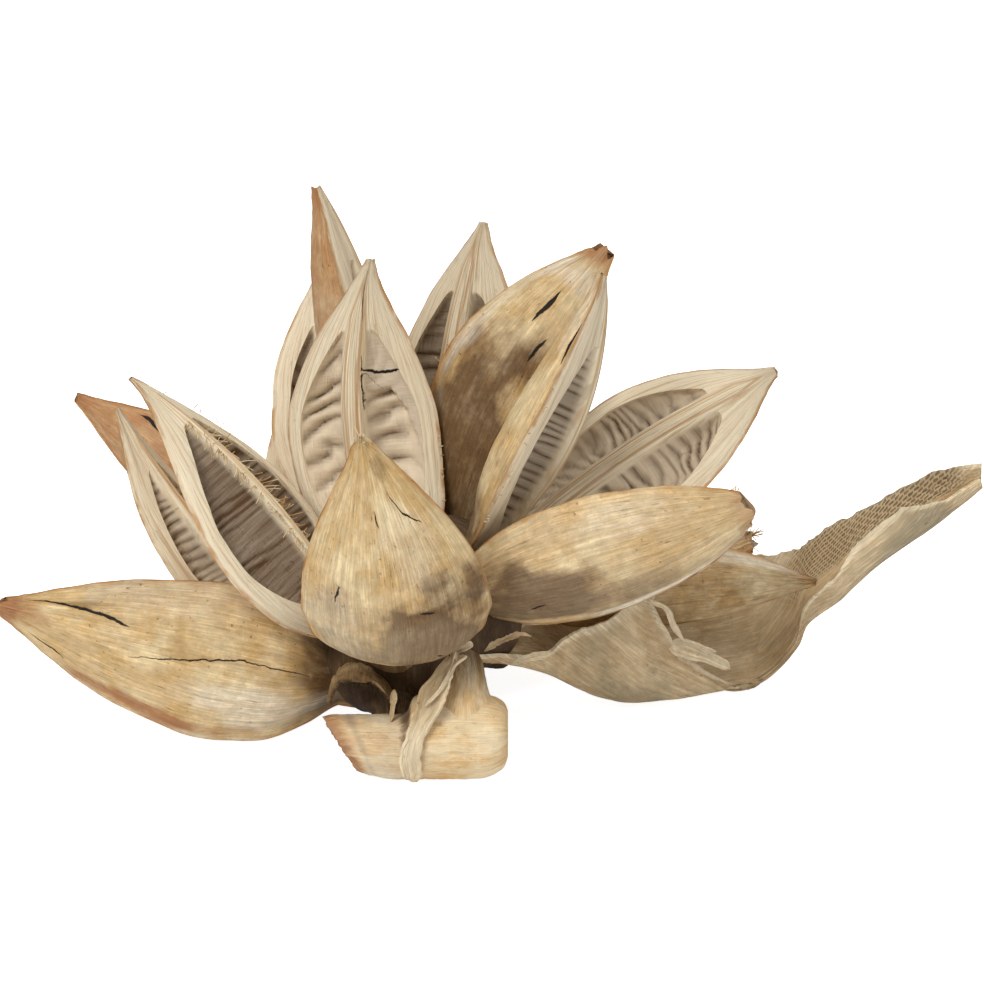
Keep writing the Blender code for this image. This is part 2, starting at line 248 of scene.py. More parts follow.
@dataclass(frozen=True)
class Crack:
    """A dark split in a surface.

    Attributes:
        outside: Whether it is on the round back, and not on the open side.
        line: Its course as (along, across) points, in the units of Spot.
        width: How wide it is open, in millimetres.
    """

    outside: bool
    line: tuple[tuple[float, float], ...]
    width: float = 0.8


class SurfaceMesh:
    """Rings of points with masks, turned to a closed mesh object.

    Attributes:
        points: Rows by columns by three, in millimetres. Each row is a ring.
        grain: Rows by columns plus one by two: millimetres along and across the fibres, for the grain UV map.
        masks: Named values for each point, or four for each point.
    """

    # Angle in degrees from which an edge is shaded sharp.
    SHARP = 50.0
    # What a mask says on a piece that has no rim, septum or split.
    NOWHERE = {"rim_mm": -20.0, "septum_mm": -5.0, "split_open": -5.0}

    def __init__(self, points: np.ndarray) -> None:
        """Keeps the rings.

        Args:
            points: Rows by columns by three, in millimetres.
        """
        self.points = points
        rows, columns = points.shape[:2]
        self.grain = np.zeros((rows, columns + 1, 2))
        self.masks: dict[str, np.ndarray] = {}

    def paint(self, levels: dict[Stain, np.ndarray | float]) -> None:
        """Fills the stain mask.

        Args:
            levels: Strength of each stain that is there, at each point.
        """
        stain = np.zeros((*self.points.shape[:2], len(Stain)))
        for kind, level in levels.items():
            stain[..., kind] = np.clip(level, 0, 1)
        self.masks["stain"] = stain

    def faces(self) -> tuple[np.ndarray, np.ndarray]:
        """Lists the quads between the rings.

        Returns:
            Vertex numbers of each quad, and its (row, column) corners for reading the grain grid.
        """
        rows, columns = self.points.shape[:2]
        row, column = np.meshgrid(np.arange(rows - 1), np.arange(columns), indexing="ij")
        row, column = row.ravel(), column.ravel()
        corners = np.stack([np.stack([row + down, column + over], 1)
                            for down, over in ((0, 0), (0, 1), (1, 1), (1, 0))], axis=1)
        return corners[..., 0] * columns + corners[..., 1] % columns, corners

    def build(self, name: str, material: bpy.types.Material) -> bpy.types.Object:
        """Makes the object, with a face over the first ring and one over the last.

        Args:
            name: Its name.
            material: Its material.

        Returns:
            The new object, at the origin.
        """
        rows, columns = self.points.shape[:2]
        numbers, corners = self.faces()
        caps = [list(range(columns))[::-1], list(range((rows - 1) * columns, rows * columns))]
        grain = np.concatenate([self.grain[corners[..., 0], corners[..., 1]].reshape(-1, 2),
                                self.grain[0, :columns][::-1], self.grain[-1, :columns]])
        mesh = bpy.data.meshes.new(name)
        mesh.from_pydata((self.points.reshape(-1, 3) * MM).tolist(), [], numbers.tolist() + caps)
        mesh.uv_layers.new(name="grain").data.foreach_set("uv", grain.astype(np.float32).ravel())
        for mask, usual in self.NOWHERE.items():
            self.masks.setdefault(mask, np.full((rows, columns), usual))
        for mask, values in self.masks.items():
            kind, part = ("FLOAT_COLOR", "color") if values.ndim == 3 else ("FLOAT", "value")
            layer = mesh.attributes.new(mask, kind, "POINT")
            layer.data.foreach_set(part, values.astype(np.float32).ravel())
        mesh.shade_smooth()
        mesh.set_sharp_from_angle(angle=radians(self.SHARP))
        mesh.materials.append(material)
        made = bpy.data.objects.new(name, mesh)
        bpy.context.scene.collection.objects.link(made)
        return made


class NodeBuilder:
    """Adds nodes to a tree, each with its settings and links.

    Attributes:
        tree: The node tree.
    """

    def __init__(self, tree: bpy.types.NodeTree) -> None:
        """Keeps the tree.

        Args:
            tree: The node tree.
        """
        self.tree = tree

    def add(self, kind: str, inputs: Inputs | None = None, **settings: str | bool) -> bpy.types.Node:
        """Adds one node.

        Args:
            kind: The node's type name.
            inputs: Socket name or number to a value or to an output socket.
            **settings: The node's own properties.

        Returns:
            The node.
        """
        node = self.tree.nodes.new(kind)
        for key, value in settings.items():
            setattr(node, key, value)
        for key, value in (inputs or {}).items():
            self.put(value, node.inputs[key])
        return node

    def put(self, value: Value, socket: Socket) -> None:
        """Links a socket to an output, or sets its value.

        Args:
            value: An output socket or a plain value.
            socket: The input socket.
        """
        if isinstance(value, Socket):
            self.tree.links.new(value, socket)
        else:
            socket.default_value = value


class Graph(NodeBuilder):
    """A material with its shader, and what its colours and relief are worked out with.

    Attributes:
        material: The material.
    """

    def __init__(self, name: str) -> None:
        """Makes a material with a Principled shader.

        Args:
            name: The material's name.
        """
        self.material = bpy.data.materials.new(name)
        self.material.use_nodes = True
        super().__init__(self.material.node_tree)

    def finished(self, inputs: Inputs) -> bpy.types.Material:
        """Fills the shader's inputs.

        Args:
            inputs: Socket name to a value or to an output socket.

        Returns:
            The material.
        """
        for key, value in inputs.items():
            self.put(value, self.tree.nodes["Principled BSDF"].inputs[key])
        return self.material

    def maths(self, operation: str, first: Value, second: Value = 0.0, third: Value = 0.0,
              clamp: bool = False) -> Socket:
        """Works out one operation.

        Args:
            operation: Its name in a Math node.
            first: First value or socket.
            second: Second value or socket.
            third: Third value or socket.
            clamp: Whether to keep the result from 0 to 1.

        Returns:
            The result's socket.
        """
        return self.add("ShaderNodeMath", {0: first, 1: second, 2: third}, operation=operation,
                        use_clamp=clamp).outputs[0]

    def mix(self, factor: Value, first: Value, second: Value, blend: str = "MIX") -> Socket:
        """Mixes two colours.

        Args:
            factor: Share of the second colour.
            first: First colour or socket.
            second: Second colour or socket.
            blend: The blend type.

        Returns:
            The result's socket.
        """
        return self.add("ShaderNodeMix", {0: factor, 6: first, 7: second}, data_type="RGBA",
                        blend_type=blend).outputs[2]

    def tint(self, under: Value, mask: Socket, amount: Value, colour: str) -> Socket:
        """Lays a colour over another one where a mask is.

        Args:
            under: The colour under it.
            mask: Where it goes, from 0 to 1.
            amount: How much of it the mask's full strength gives.
            colour: The colour on top, as sRGB hex.

        Returns:
            The result's socket.
        """
        return self.mix(self.maths("MULTIPLY", mask, amount), under, linear(colour))

    def centred(self, noise: Socket, size: float) -> Socket:
        """Turns noise from 0 to 1 into values on both sides of nothing.

        Args:
            noise: The noise.
            size: How far apart its ends are then.

        Returns:
            The result's socket.
        """
        return self.maths("MULTIPLY", self.maths("SUBTRACT", noise, 0.5), size)

    def step(self, value: Value, low: float, high: float) -> Socket:
        """Eases a value from 0 at low to 1 at high.

        Args:
            value: The value's socket.
            low: Where the result starts to rise.
            high: Where it reaches one. It may be below low.

        Returns:
            The result's socket.
        """
        if low > high:
            return self.maths("SUBTRACT", 1.0, self.step(value, high, low))
        return self.add("ShaderNodeMapRange", {0: value, 1: low, 2: high, 3: 0.0, 4: 1.0},
                        interpolation_type="SMOOTHSTEP").outputs[0]

    def attribute(self, name: str, output: str = "Fac") -> Socket:
        """Reads a mesh attribute.

        Args:
            name: The attribute.
            output: Which output.

        Returns:
            The output's socket.
        """
        return self.add("ShaderNodeAttribute", attribute_name=name).outputs[output]

    def grain_noise(self, along: float, across: float, detail: float = 4.0, shift: float = 0.0,
                    rough: float = 0.6) -> Socket:
        """Adds noise that is stretched along or across the fibres.

        Args:
            along: Size of its features along the fibres, in millimetres.
            across: Size of its features across the fibres, in millimetres.
            detail: How many finer layers.
            shift: Where in the pattern.
            rough: How strong the finer layers are.

        Returns:
            A value's socket, from 0 to 1.
        """
        uv = self.add("ShaderNodeUVMap", uv_map="grain").outputs[0]
        scaled = self.add("ShaderNodeVectorMath", {0: uv, 1: (1 / along, 1 / across, 0)},
                          operation="MULTIPLY")
        moved = self.add("ShaderNodeVectorMath", {0: scaled.outputs[0], 1: (shift, shift * 1.7, shift * 0.3)},
                         operation="ADD")
        return self.add("ShaderNodeTexNoise", {"Vector": moved.outputs[0], "Scale": 1.0, "Detail": detail,
                                               "Roughness": rough}, noise_dimensions="3D").outputs["Fac"]


@dataclass(frozen=True)
class PlantFinish:
    """Colours and relief of one kind of dry plant wall, as sRGB hex.

    Attributes:
        name: The material's name.
        body: The usual colour.
        light: The paler colour in blotches.
        warm: The golden colour in blotches.
        brown: Full brown, for stains and for painted shade at the bases and in the hollows.
        grey: Full grey stain.
        pale: Full bleached area.
        red: Full red-brown skin.
        rim: Cut rim.
        line: Thin skin line at the rim's outer edge.
        floor: Seed pocket's creases: their own brown, darkened as painted shade.
        crest: Seed pocket's ribs: partly their own pale colour, partly painted light.
        roughness: Surface roughness.
        relief: Depth of the fibre relief in millimetres.
        streaks: How strongly the fibres darken the colour.
    """

    # Shade between fibres, the darkest brown (stains, and painted shade at bases and hollows), the inside of
    # a split, and the worn net's gaps and veins.
    SHADE = "4A2F14"
    DEEP = "38210C"
    SPLIT = "1D130B"
    GAPS = ("54402A", "6E5639")
    VEINS = "BDA680"

    name: str
    body: str
    light: str
    warm: str
    brown: str = "6E4F2E"
    grey: str = "A08B6C"
    pale: str = "E4D8C2"
    red: str = "AC764E"
    rim: str = "F7E9CC"
    line: str = "BA8448"
    floor: str = "5F4429"
    crest: str = "F0DFC4"
    roughness: float = 0.62
    relief: float = 0.3
    streaks: float = 0.9

    def build(self) -> bpy.types.Material:
        """Makes the material.

        Returns:
            The material. It reads the grain UV map and the masks stain, rim_mm, pocket, crest, septum_mm,
            split_mm, split_open and lattice.
        """
        graph = Graph(self.name)
        # Each pattern's size is in millimetres along and across the fibres. Single fibres, taken as about
        # 0.1 mm wide, are too fine to show, so the finest noise along them is drawn at 0.26 mm.
        streak = graph.grain_noise(34, 0.8, 5, 0.0, 0.68)
        hair = graph.grain_noise(8, 0.26, 3, 5.1)
        blotch = graph.grain_noise(22, 13, 5, 9.7, 0.6)
        patch = graph.grain_noise(11, 6, 4, 21.3, 0.65)
        speck = graph.grain_noise(1.6, 0.8, 2, 33.0)
        dash = graph.grain_noise(5.5, 0.4, 2, 47.0)
        mottle = graph.grain_noise(3.2, 1.6, 4, 71.0, 0.7)
        body = graph.mix(graph.step(blotch, 0.4, 0.62), linear(self.body), linear(self.light))
        body = graph.tint(body, graph.step(patch, 0.42, 0.66), 0.7, self.warm)
        levels = [*graph.add("ShaderNodeSeparateColor", {0: graph.attribute("stain", "Color")}).outputs,
                  graph.attribute("stain", "Alpha")]
        body = self.stained(graph, body, levels, patch, streak)
        tone = 0.7
        for noise, share in ((streak, 0.2), (hair, 0.3), (mottle, 0.2)):
            tone = graph.maths("MULTIPLY_ADD", graph.step(noise, 0.38, 0.62), share, tone)
        paler = graph.maths("MULTIPLY", graph.maths("SUBTRACT", tone, 1.08), 1.5 * self.streaks, clamp=True)
        body = graph.mix(1.0, body, graph.maths("MULTIPLY_ADD", paler, 0.9, 1.03), "MULTIPLY")
        darker = graph.maths("MULTIPLY", graph.maths("SUBTRACT", 1.02, tone), self.streaks, clamp=True)
        body = graph.mix(darker, body, linear(self.SHADE))
        dashes = graph.maths("MULTIPLY", graph.step(dash, 0.62, 0.74), graph.step(blotch, 0.58, 0.42))
        body = graph.tint(body, dashes, 0.42, self.brown)
        pits = graph.maths("MULTIPLY", graph.step(speck, 0.66, 0.74), graph.step(patch, 0.42, 0.6))
        body = graph.tint(body, pits, 0.55, self.brown)
        body = self.open_side(graph, body, streak, hair, patch)
        dark = graph.maths("MULTIPLY", graph.step(graph.attribute("rim_mm"), 0.0, 0.3), levels[BROWN])
        body = self.lattice(graph, graph.tint(body, dark, 0.75, self.brown))
        wander = graph.centred(graph.grain_noise(2.6, 1.8, 3, 61.0), 1.5)
        beside = graph.maths("ABSOLUTE", graph.maths("ADD", graph.attribute("split_mm"), wander))
        depth = graph.step(graph.maths("SUBTRACT", graph.attribute("split_open"), beside), -0.1, 0.12)
        height = streak
        for layer, share in ((hair, 0.45), (patch, 0.5), (pits, -0.8), (dashes, -0.5), (depth, -2.5)):
            height = graph.maths("MULTIPLY_ADD", layer, share, height)
        bump = graph.add("ShaderNodeBump", {"Height": height, "Strength": 1.0, "Distance": self.relief * MM})
        return graph.finished({
            "Base Color": graph.mix(depth, body, linear(self.SPLIT)),
            "Roughness": graph.maths("MULTIPLY_ADD", hair, 0.2, self.roughness - 0.1),
            "Specular IOR Level": 0.3,
            "Normal": bump.outputs[0],
        })

    def stained(self, graph: Graph, body: Socket, levels: list[Socket], patch: Socket,
                streak: Socket) -> Socket:
        """Adds the four stains with ragged edges.

        Args:
            graph: The material's graph.
            body: The colour under them.
            levels: Strength of each stain.
            patch: Soft noise.
            streak: Noise along the fibres.

        Returns:
            The colour's socket.
        """
        fine = graph.grain_noise(4.5, 1.8, 5, 83.0, 0.7)
        ragged = graph.maths("ADD", graph.centred(patch, 1.2), graph.centred(streak, 1.6))
        ragged = graph.maths("ADD", graph.centred(fine, 1.6), ragged)
        # Where the brown mask is full the brown deepens: a real stain on some spots, painted shade at the
        # valves' bases, inside the stub's arch, on the knob and on the rear neck.
        full = graph.maths("MULTIPLY", graph.step(levels[BROWN], 0.85, 1.0), 0.35)
        brown = graph.mix(full, linear(self.brown), linear(self.DEEP))
        for level, colour in zip(levels, (brown, linear(self.grey), linear(self.pale), linear(self.red))):
            spread = graph.maths("MULTIPLY_ADD", ragged, graph.maths("MINIMUM", level, 0.6), level)
            amount = graph.maths("MULTIPLY", graph.step(spread, 0.0, 1.15), graph.step(level, 0.0, 0.15))
            body = graph.mix(graph.maths("MULTIPLY", amount, 0.92), body, colour)
        return body

    def lattice(self, graph: Graph, body: Socket) -> Socket:
        """Colours the worn net of veins with its dark gaps.

        Args:
            graph: The material's graph.
            body: The colour under it.

        Returns:
            The colour's socket.
        """
        # The grain map is in millimetres: cells of 1.9 by 0.95 mm between veins of about a quarter of one.
        net = graph.add("ShaderNodeTexBrick", {
            "Vector": graph.add("ShaderNodeUVMap", uv_map="grain").outputs[0],
            "Color1": linear(self.GAPS[0]), "Color2": linear(self.GAPS[1]), "Mortar": linear(self.VEINS),
            "Scale": 1.0, "Mortar Size": 0.24, "Mortar Smooth": 0.3, "Brick Width": 1.9, "Row Height": 0.95})
        return graph.mix(graph.attribute("lattice"), body, net.outputs[0])

    def open_side(self, graph: Graph, body: Socket, streak: Socket, hair: Socket, patch: Socket) -> Socket:
        """Colours the rim, the seed pockets and the septum.

        Args:
            graph: The material's graph.
            body: Colour of the outside.
            streak: Noise along the fibres.
            hair: Fine noise along the fibres.
            patch: Soft noise.

        Returns:
            The colour's socket.
        """
        rim_mm, septum_mm = graph.attribute("rim_mm"), graph.attribute("septum_mm")
        jitter = graph.centred(patch, 0.9)
        golden = graph.step(graph.grain_noise(42, 1.1, 4, 90.0, 0.6), 0.5, 0.68)
        rim = graph.tint(linear(self.rim), graph.step(streak, 0.35, 0.75), 0.55, self.body)
        rim = graph.tint(rim, golden, 0.5, self.line)
        rim = graph.tint(rim, graph.step(hair, 0.52, 0.7), 0.35, self.grey)
        colour = graph.mix(graph.step(rim_mm, 0.02, 0.12), body, rim)
        near = graph.maths("ABSOLUTE", graph.maths("ADD", graph.maths("SUBTRACT", rim_mm, 0.1), jitter))
        line = graph.maths("MULTIPLY", graph.step(near, 1.1, 0.2),
                           graph.step(graph.maths("ABSOLUTE", rim_mm), 2.0, 1.2))
        worn = graph.maths("MULTIPLY_ADD", graph.step(graph.grain_noise(9, 4, 3, 95.0), 0.4, 0.6), 0.65, 0.15)
        colour = graph.tint(colour, line, worn, self.line)
        silk = graph.centred(graph.grain_noise(0.5, 7, 4, 3.3, 0.7), 0.7)
        # The crest mask mixes the dark floor colour and the pale crest colour: painted shade in the pocket's
        # creases and painted light on its ribs.
        lit = graph.add("ShaderNodeMapRange", {0: graph.maths("ADD", silk, graph.attribute("crest")),
                                               1: -0.1, 2: 1.1}).outputs[0]
        inside = graph.mix(lit, linear(self.floor), linear(self.crest))
        colour = graph.mix(graph.step(graph.attribute("pocket"), 0.1, 0.42), colour, inside)
        ridge = graph.mix(graph.step(graph.grain_noise(60, 0.7, 3, 40.0), 0.4, 0.65), linear(self.rim),
                          linear(self.body))
        ridge = graph.tint(ridge, graph.step(hair, 0.5, 0.72), 0.5, self.grey)
        ridge = graph.tint(ridge, golden, 0.45, self.line)
        groove = graph.maths("ABSOLUTE", graph.maths("ADD", graph.maths("SUBTRACT", septum_mm, 1.5), jitter))
        ridge = graph.tint(ridge, graph.step(groove, 0.55, 0.15), 0.6, self.line)
        return graph.mix(graph.maths("MULTIPLY", graph.step(septum_mm, -0.1, 0.25), 0.9), colour, ridge)


@dataclass(frozen=True)
class Look:
    """How one valve differs from the others in wear and colour.

    Attributes:
        ribs: Number of wrinkles in a seed pocket.
        rib_height: Their height in millimetres.
        warp: How much they wander.
        silk: Height of the fine cross fibres in millimetres.
        brightness: How light the pocket is, from -0.5 to 0.5.
        contrast: How much darker the creases and paler the crests are painted, as painted shade and light.
        closeness: Share of its depth that every crease has.
        membrane: Lower edge of the pale skin over the right pocket, as (across, along) points.
        tints: Amount of each stain all over the outside.
        tip: Amount of red-brown at the broken tip.
        spots: Stains.
        cracks: Splits.
        lumps: Height of the soft lumps outside, in millimetres.
        ragged: How far the tip's end is torn, in millimetres.
        fibres: Height of the long fibres outside, in millimetres.
        base_shade: Amount of brown painted at the base as the shade where the valves crowd round the knob.
        rows: Number of points along the valve.
        back_cells: Number of cells across its back.
        skin_tip: Whether the skin also covers the tip's open side.
    """

    ribs: float = 14
    rib_height: float = 1.0
    warp: float = 0.9
    silk: float = 0.12
    brightness: float = 0.0
    contrast: float = 0.55
    closeness: float = 0.35
    membrane: tuple[tuple[float, float], ...] = ()
    tints: tuple[float, float, float, float] = (0.0, 0.0, 0.0, 0.0)
    tip: float = 0.5
    spots: tuple[Spot, ...] = ()
    cracks: tuple[Crack, ...] = ()
    lumps: float = 0.5
    ragged: float = 0.8
    fibres: float = 0.07
    base_shade: float = 0.9
    rows: int = 150
    back_cells: int = 48
    skin_tip: bool = False


@dataclass(frozen=True)
class Valve:
    """One woody valve of a split capsule, as in the CAD.

    Attributes:
        name: The CAD node.
        base: Where its ridge line starts.
        tip: Where its ridge line ends.
        opens: Which way its open side faces.
        width: Its full width.
        rise: How far the septum stands above the rims, as a share of the half width.
        depth: How far the back lies below the rims, as a share of the half width.
        belly: Share of the length where it is widest.
        bow: How far its middle is moved towards the open side.
        sway: How far its middle is moved across.
        septum: Half the ridge's own width.
        cut: Share of the length that is broken off at the tip.
        beak: Above one for a slimmer tip.
        look: Wear and colour.
        seed: Which random pattern.
    """

    name: str
    base: Point
    tip: Point
    opens: Point
    width: float
    rise: float
    depth: float
    belly: float
    bow: float
    sway: float
    septum: float
    cut: float
    beak: float
    look: Look
    seed: int

    # Share of the full half width at shares of the length, for a belly in the middle.
    OUTLINE = ((0, 0.3), (0.12, 0.58), (0.25, 0.83), (0.37, 0.95), (0.5, 1), (0.6, 0.955), (0.7, 0.83),
               (0.8, 0.63), (0.88, 0.41), (0.94, 0.23), (0.975, 0.14), (1, 0.08))
    # Millimetres of the thinnest wall, the cut rim's width, the deepest pocket and the root past the base.
    WALL = 2.4
    RIM = 4.6
    POCKET_DEPTH = 8.5
    ROOT = 5.0
    # Shares of the length where the seed pockets start and end.
    POCKET = (0.1, 0.79)
    # Height of the septum's crown, in half widths of the septum, and millimetres of the rim's roll and drop.
    CROWN = 0.3
    ROLL = 0.35
    DROP = 0.45
    # How light the pale skin over a pocket is, and how much of the pocket's depth and ripples it hides.
    SKIN_LIGHT = 0.85
    SKIN_FILLS = 0.45
    SKIN_CALMS = 0.75
    # Numbers of points across each part of the open side.
    SEPTUM_CELLS = 5
    POCKET_CELLS = 20
    RIM_CELLS = 6

    @property
    def length(self) -> float:
        """Length of its ridge line, in millimetres."""
        return float(np.linalg.norm(np.subtract(self.tip, self.base)))

    def outline(self, share: np.ndarray) -> np.ndarray:
        """Share of the full half width at shares of the length.

        Args:
            share: Shares of the length.

        Returns:
            Shares of the half width.
        """
        at = share * (1 - self.cut)
        low = smooth_through(self.OUTLINE, 0.5 * at / self.belly)
        high = smooth_through(self.OUTLINE, 0.5 + 0.5 * (at - self.belly) / (1 - self.belly))
        return np.where(at < self.belly, low, np.maximum(high, 0.01) ** self.beak)

    def build(self, material: bpy.types.Material) -> bpy.types.Object:
        """Builds the valve as one closed mesh.

        Args:
            material: The capsule wall's material.

        Returns:
            The object.
        """
        share = np.linspace(0, 1, self.look.rows)[:, None]
        half = (self.width / 2 * self.outline(share[:, 0]))[:, None]
        half = half * (1 + 0.02 * cloud(share * 7, share * 0, self.seed, 3))
        rise, deep = self.rise * half, self.depth * half
        radius = (half ** 2 + deep ** 2) / (2 * deep)
        septum = np.minimum(self.septum, 0.35 * half)
        start, end = self.POCKET
        off = np.clip(np.abs(share - (start + end) / 2) / ((end - start) / 2), 0, 1)
        wide = (1 - off ** 2.6) ** 0.5
        outer = septum + np.maximum(half - self.RIM - septum, 0.1 * half) * (0.25 + 0.75 * wide)
        y, cross = self.columns(septum, outer, half)
        size, side = np.abs(y), np.where(y < 0, 50.0, 0.0)

        slope = -rise * size / half
        room = slope + rise + np.sqrt(np.maximum(radius ** 2 - size ** 2, 0)) - radius + deep - self.WALL
        pocket = wide * np.clip(1 - np.abs(2 * cross - 1) ** 3.4, 0, 1) ** 0.62
        crest, ripple = self.wrinkles(share, cross, side)
        skin = self.membrane_mask(share, y / half)
        crest, ripple = crest + (self.SKIN_LIGHT - crest) * skin, ripple * (1 - self.SKIN_CALMS * skin)
        sink = pocket * np.clip(room, 0, self.POCKET_DEPTH) * (1 - self.SKIN_FILLS * skin)
        height = slope - sink + ripple * smooth_step(pocket, 0.25, 0.9)
        height += self.CROWN * np.clip(1 - (size / np.maximum(septum, 0.1)) ** 2, 0, 1) * septum
        in_rim = np.clip((size - outer) / np.maximum(half - outer, 1e-6), 0, 1)
        height += self.ROLL * np.sin(in_rim * pi) - self.DROP * in_rim ** 6
        height += 0.35 * cloud(share * 9 + side, in_rim * 2, self.seed + 7, 2) * in_rim

        turn = np.linspace(0, 1, self.look.back_cells + 1)[None, 1:-1]
        span = 2 * np.arctan2(deep, half)
        angle = span * (1 - 2 * turn)
        reach = radius + self.back_relief(share, turn)
        all_y = np.concatenate([y, reach * np.sin(angle)], axis=1)
        all_z = np.concatenate([height, radius - deep - reach * np.cos(angle) - rise], axis=1)
        along, across, opens = self.axes()
        middle = self.middle_line(share)
        middle[0] -= along * self.ROOT
        torn = self.look.ragged * smooth_step(share, 0.93, 1.0)
        torn = torn * cloud(all_y / 2.2, all_z / 2.2, self.seed + 3, 2)
        points = middle[:, None, :] + across * all_y[..., None] + opens * all_z[..., None]
        made = SurfaceMesh((points + along * torn[..., None])[:, ::-1])
        self.add_masks(made, share, y, half, septum, pocket, crest, turn, radius * span)
        return made.build(f"{self.name}_visual", material)

    def columns(self, septum: np.ndarray, outer: np.ndarray,
                half: np.ndarray) -> tuple[np.ndarray, np.ndarray]:
        """Places the open side's points across, from the left rim to the right one.

        Args:
            septum: Half widths of the ridge.
            outer: Distances from the ridge line where the pockets end.
            half: Half widths.

        Returns:
            Millimetres across from the ridge line, and places across a pocket, from 0 to 1.
        """
        across_pocket = (1 - np.cos(pi * np.linspace(0, 1, self.POCKET_CELLS))) / 2
        places = [septum * q for q in np.linspace(0, 1, self.SEPTUM_CELLS)[:-1]]
        places += [septum + (outer - septum) * q for q in across_pocket[:-1]]
        places += [outer + (half - outer) * q for q in np.linspace(0, 1, self.RIM_CELLS)]
        right = np.concatenate(places, axis=1)
        cross = np.zeros(right.shape[1])
        first = self.SEPTUM_CELLS - 1
        cross[first:first + self.POCKET_CELLS] = across_pocket
        return (np.concatenate([-right[:, :0:-1], right], axis=1),
                np.concatenate([cross[:0:-1], cross])[None, :])

    def axes(self) -> tuple[np.ndarray, np.ndarray, np.ndarray]:
        """The valve's own axes.

        Returns:
            Unit vectors along its length, across it and out of its open side.
        """
        along = unit(np.subtract(self.tip, self.base))
        opens = np.asarray(self.opens, float)
        opens = unit(opens - along * (opens @ along))
        return along, np.cross(along, opens), opens

    def ridge_point(self, share: float, place: float) -> np.ndarray:
        """A point on the roof between the ridge and a rim.

        Args:
            share: Share of the length.
            place: Place across, from -1 at the left rim to 1 at the right one.

        Returns:
            The point.
        """
        _, across, opens = self.axes()
        half = self.width / 2 * float(self.outline(np.array([share]))[0])
        middle = self.middle_line(np.array([[share]]))[0]
        return middle + across * (place * half) - opens * (self.rise * half * abs(place))

    def middle_line(self, share: np.ndarray) -> np.ndarray:
        """Points of the ridge line.

        Args:
            share: Shares of the length, in one column.

        Returns:
            One point for each share.
        """
        along, across, opens = self.axes()
        shift = (opens * self.bow + across * self.sway) * (4 * share * (1 - share))
        return np.asarray(self.base, float) + along * (self.length * share) + shift

    def wrinkles(self, share: np.ndarray, cross: np.ndarray,
                 side: np.ndarray) -> tuple[np.ndarray, np.ndarray]:
        """The cross ribs of the seed pockets.

        Args:
            share: Shares of the length.
            cross: Places across a pocket, from septum to rim.
            side: An offset that makes the left pocket's pattern another one.

        Returns:
            How light each point is painted, from about 0 in the shaded creases to 1 on the lit crests, and
            its height in millimetres.
        """
        look, start, end = self.look, *self.POCKET
        cells = (share - start) / (end - start) * look.ribs
        bend = look.warp * cloud(cells * 0.35 + side, cross * 0.9, self.seed + 11, 4)
        wave = cells + bend + 0.8 * (cross - 0.5) ** 2 + side * 0.13
        crest = np.abs(np.sin(pi * wave)) ** 0.8
        vary = smooth_step(cloud(cells * 0.35 + side, cross * 1.3, self.seed + 5, 2), -0.6, 0.5)
        crest = 1 - (1 - crest) * (look.closeness + (1 - look.closeness) * vary)
        silk = cloud(share * self.length / 0.9 + side, cross * 2.5, self.seed + 13, 2)
        soft = cloud(cells * 0.25 + side, cross, self.seed + 15, 2)
        ripple = look.rib_height * (crest - 0.8) + look.silk * silk + 0.4 * soft
        # Painted light and shade of the wrinkles: crests lighter, creases darker.
        light = 0.5 + look.contrast * (crest - 0.6) + 0.12 * soft + look.brightness
        return np.clip(light, -0.4, 1.4), ripple

    def membrane_mask(self, share: np.ndarray, place: np.ndarray) -> np.ndarray:
        """Where the pale skin still covers the right pocket.

        Args:
            share: Shares of the length.
            place: Places across the open side, from -1 to 1.

        Returns:
            One where it covers the pocket, and nothing elsewhere.
        """
        if not self.look.membrane:
            return np.zeros(place.shape)
        across, along = np.array(self.look.membrane, float).T
        edge = np.interp(place, across, along) + 0.012 * cloud(place * 9, place * 0, self.seed + 37, 3)
        return smooth_step(share - edge, -0.004, 0.012) * (place > 0)

    def back_relief(self, share: np.ndarray, turn: np.ndarray) -> np.ndarray:
        """Relief of the round back: soft lumps, long fibres and the edges of splits.

        Args:
            share: Shares of the length.
            turn: Places across the back, from the right rim to the left one.

        Returns:
            Heights in millimetres.
        """
        along = share * self.length
        lumps = self.look.lumps * cloud(along / 26, turn * self.width / 14, self.seed + 17, 2)
        fibres = self.look.fibres * cloud(along / 16, turn * self.width / 1.5, self.seed + 19, 2)
        fade = np.minimum(turn, 1 - turn) * 8
        relief = (lumps + fibres) * np.clip(fade, 0, 1) * smooth_step(share, 0.0, 0.1)
        offset, opening = self.split_field(True, share, 2 * turn - 1 + 0 * share)
        return relief - 0.5 * smooth_step(np.abs(offset), 1.8, 0.2) * (opening > 0)

    def add_masks(self, made: SurfaceMesh, share: np.ndarray, y: np.ndarray, half: np.ndarray,
                  septum: np.ndarray, pocket: np.ndarray, crest: np.ndarray, turn: np.ndarray,
                  girth: np.ndarray) -> None:
        """Adds the grain map and every mask.

        Args:
            made: The surface. Its columns run the other way from the arrays here.
            share: Shares of the length.
            y: Places across the open side, in millimetres.
            half: Half widths.
            septum: Half widths of the ridge.
            pocket: How deep in a pocket each point of the open side is.
            crest: How light each point is painted: painted light on the crests, painted shade in the creases.
            turn: Places across the back.
            girth: Lengths of the back's arc.
        """
        look, size, back_shape = self.look, np.abs(y), (len(share), turn.shape[1])

        def both(on_front: np.ndarray, on_back: np.ndarray) -> np.ndarray:
            """Joins the open side's values and the back's, in the surface's order."""
            return np.concatenate([np.broadcast_to(on_front, y.shape),
                                   np.broadcast_to(on_back, back_shape)], axis=1)[:, ::-1]

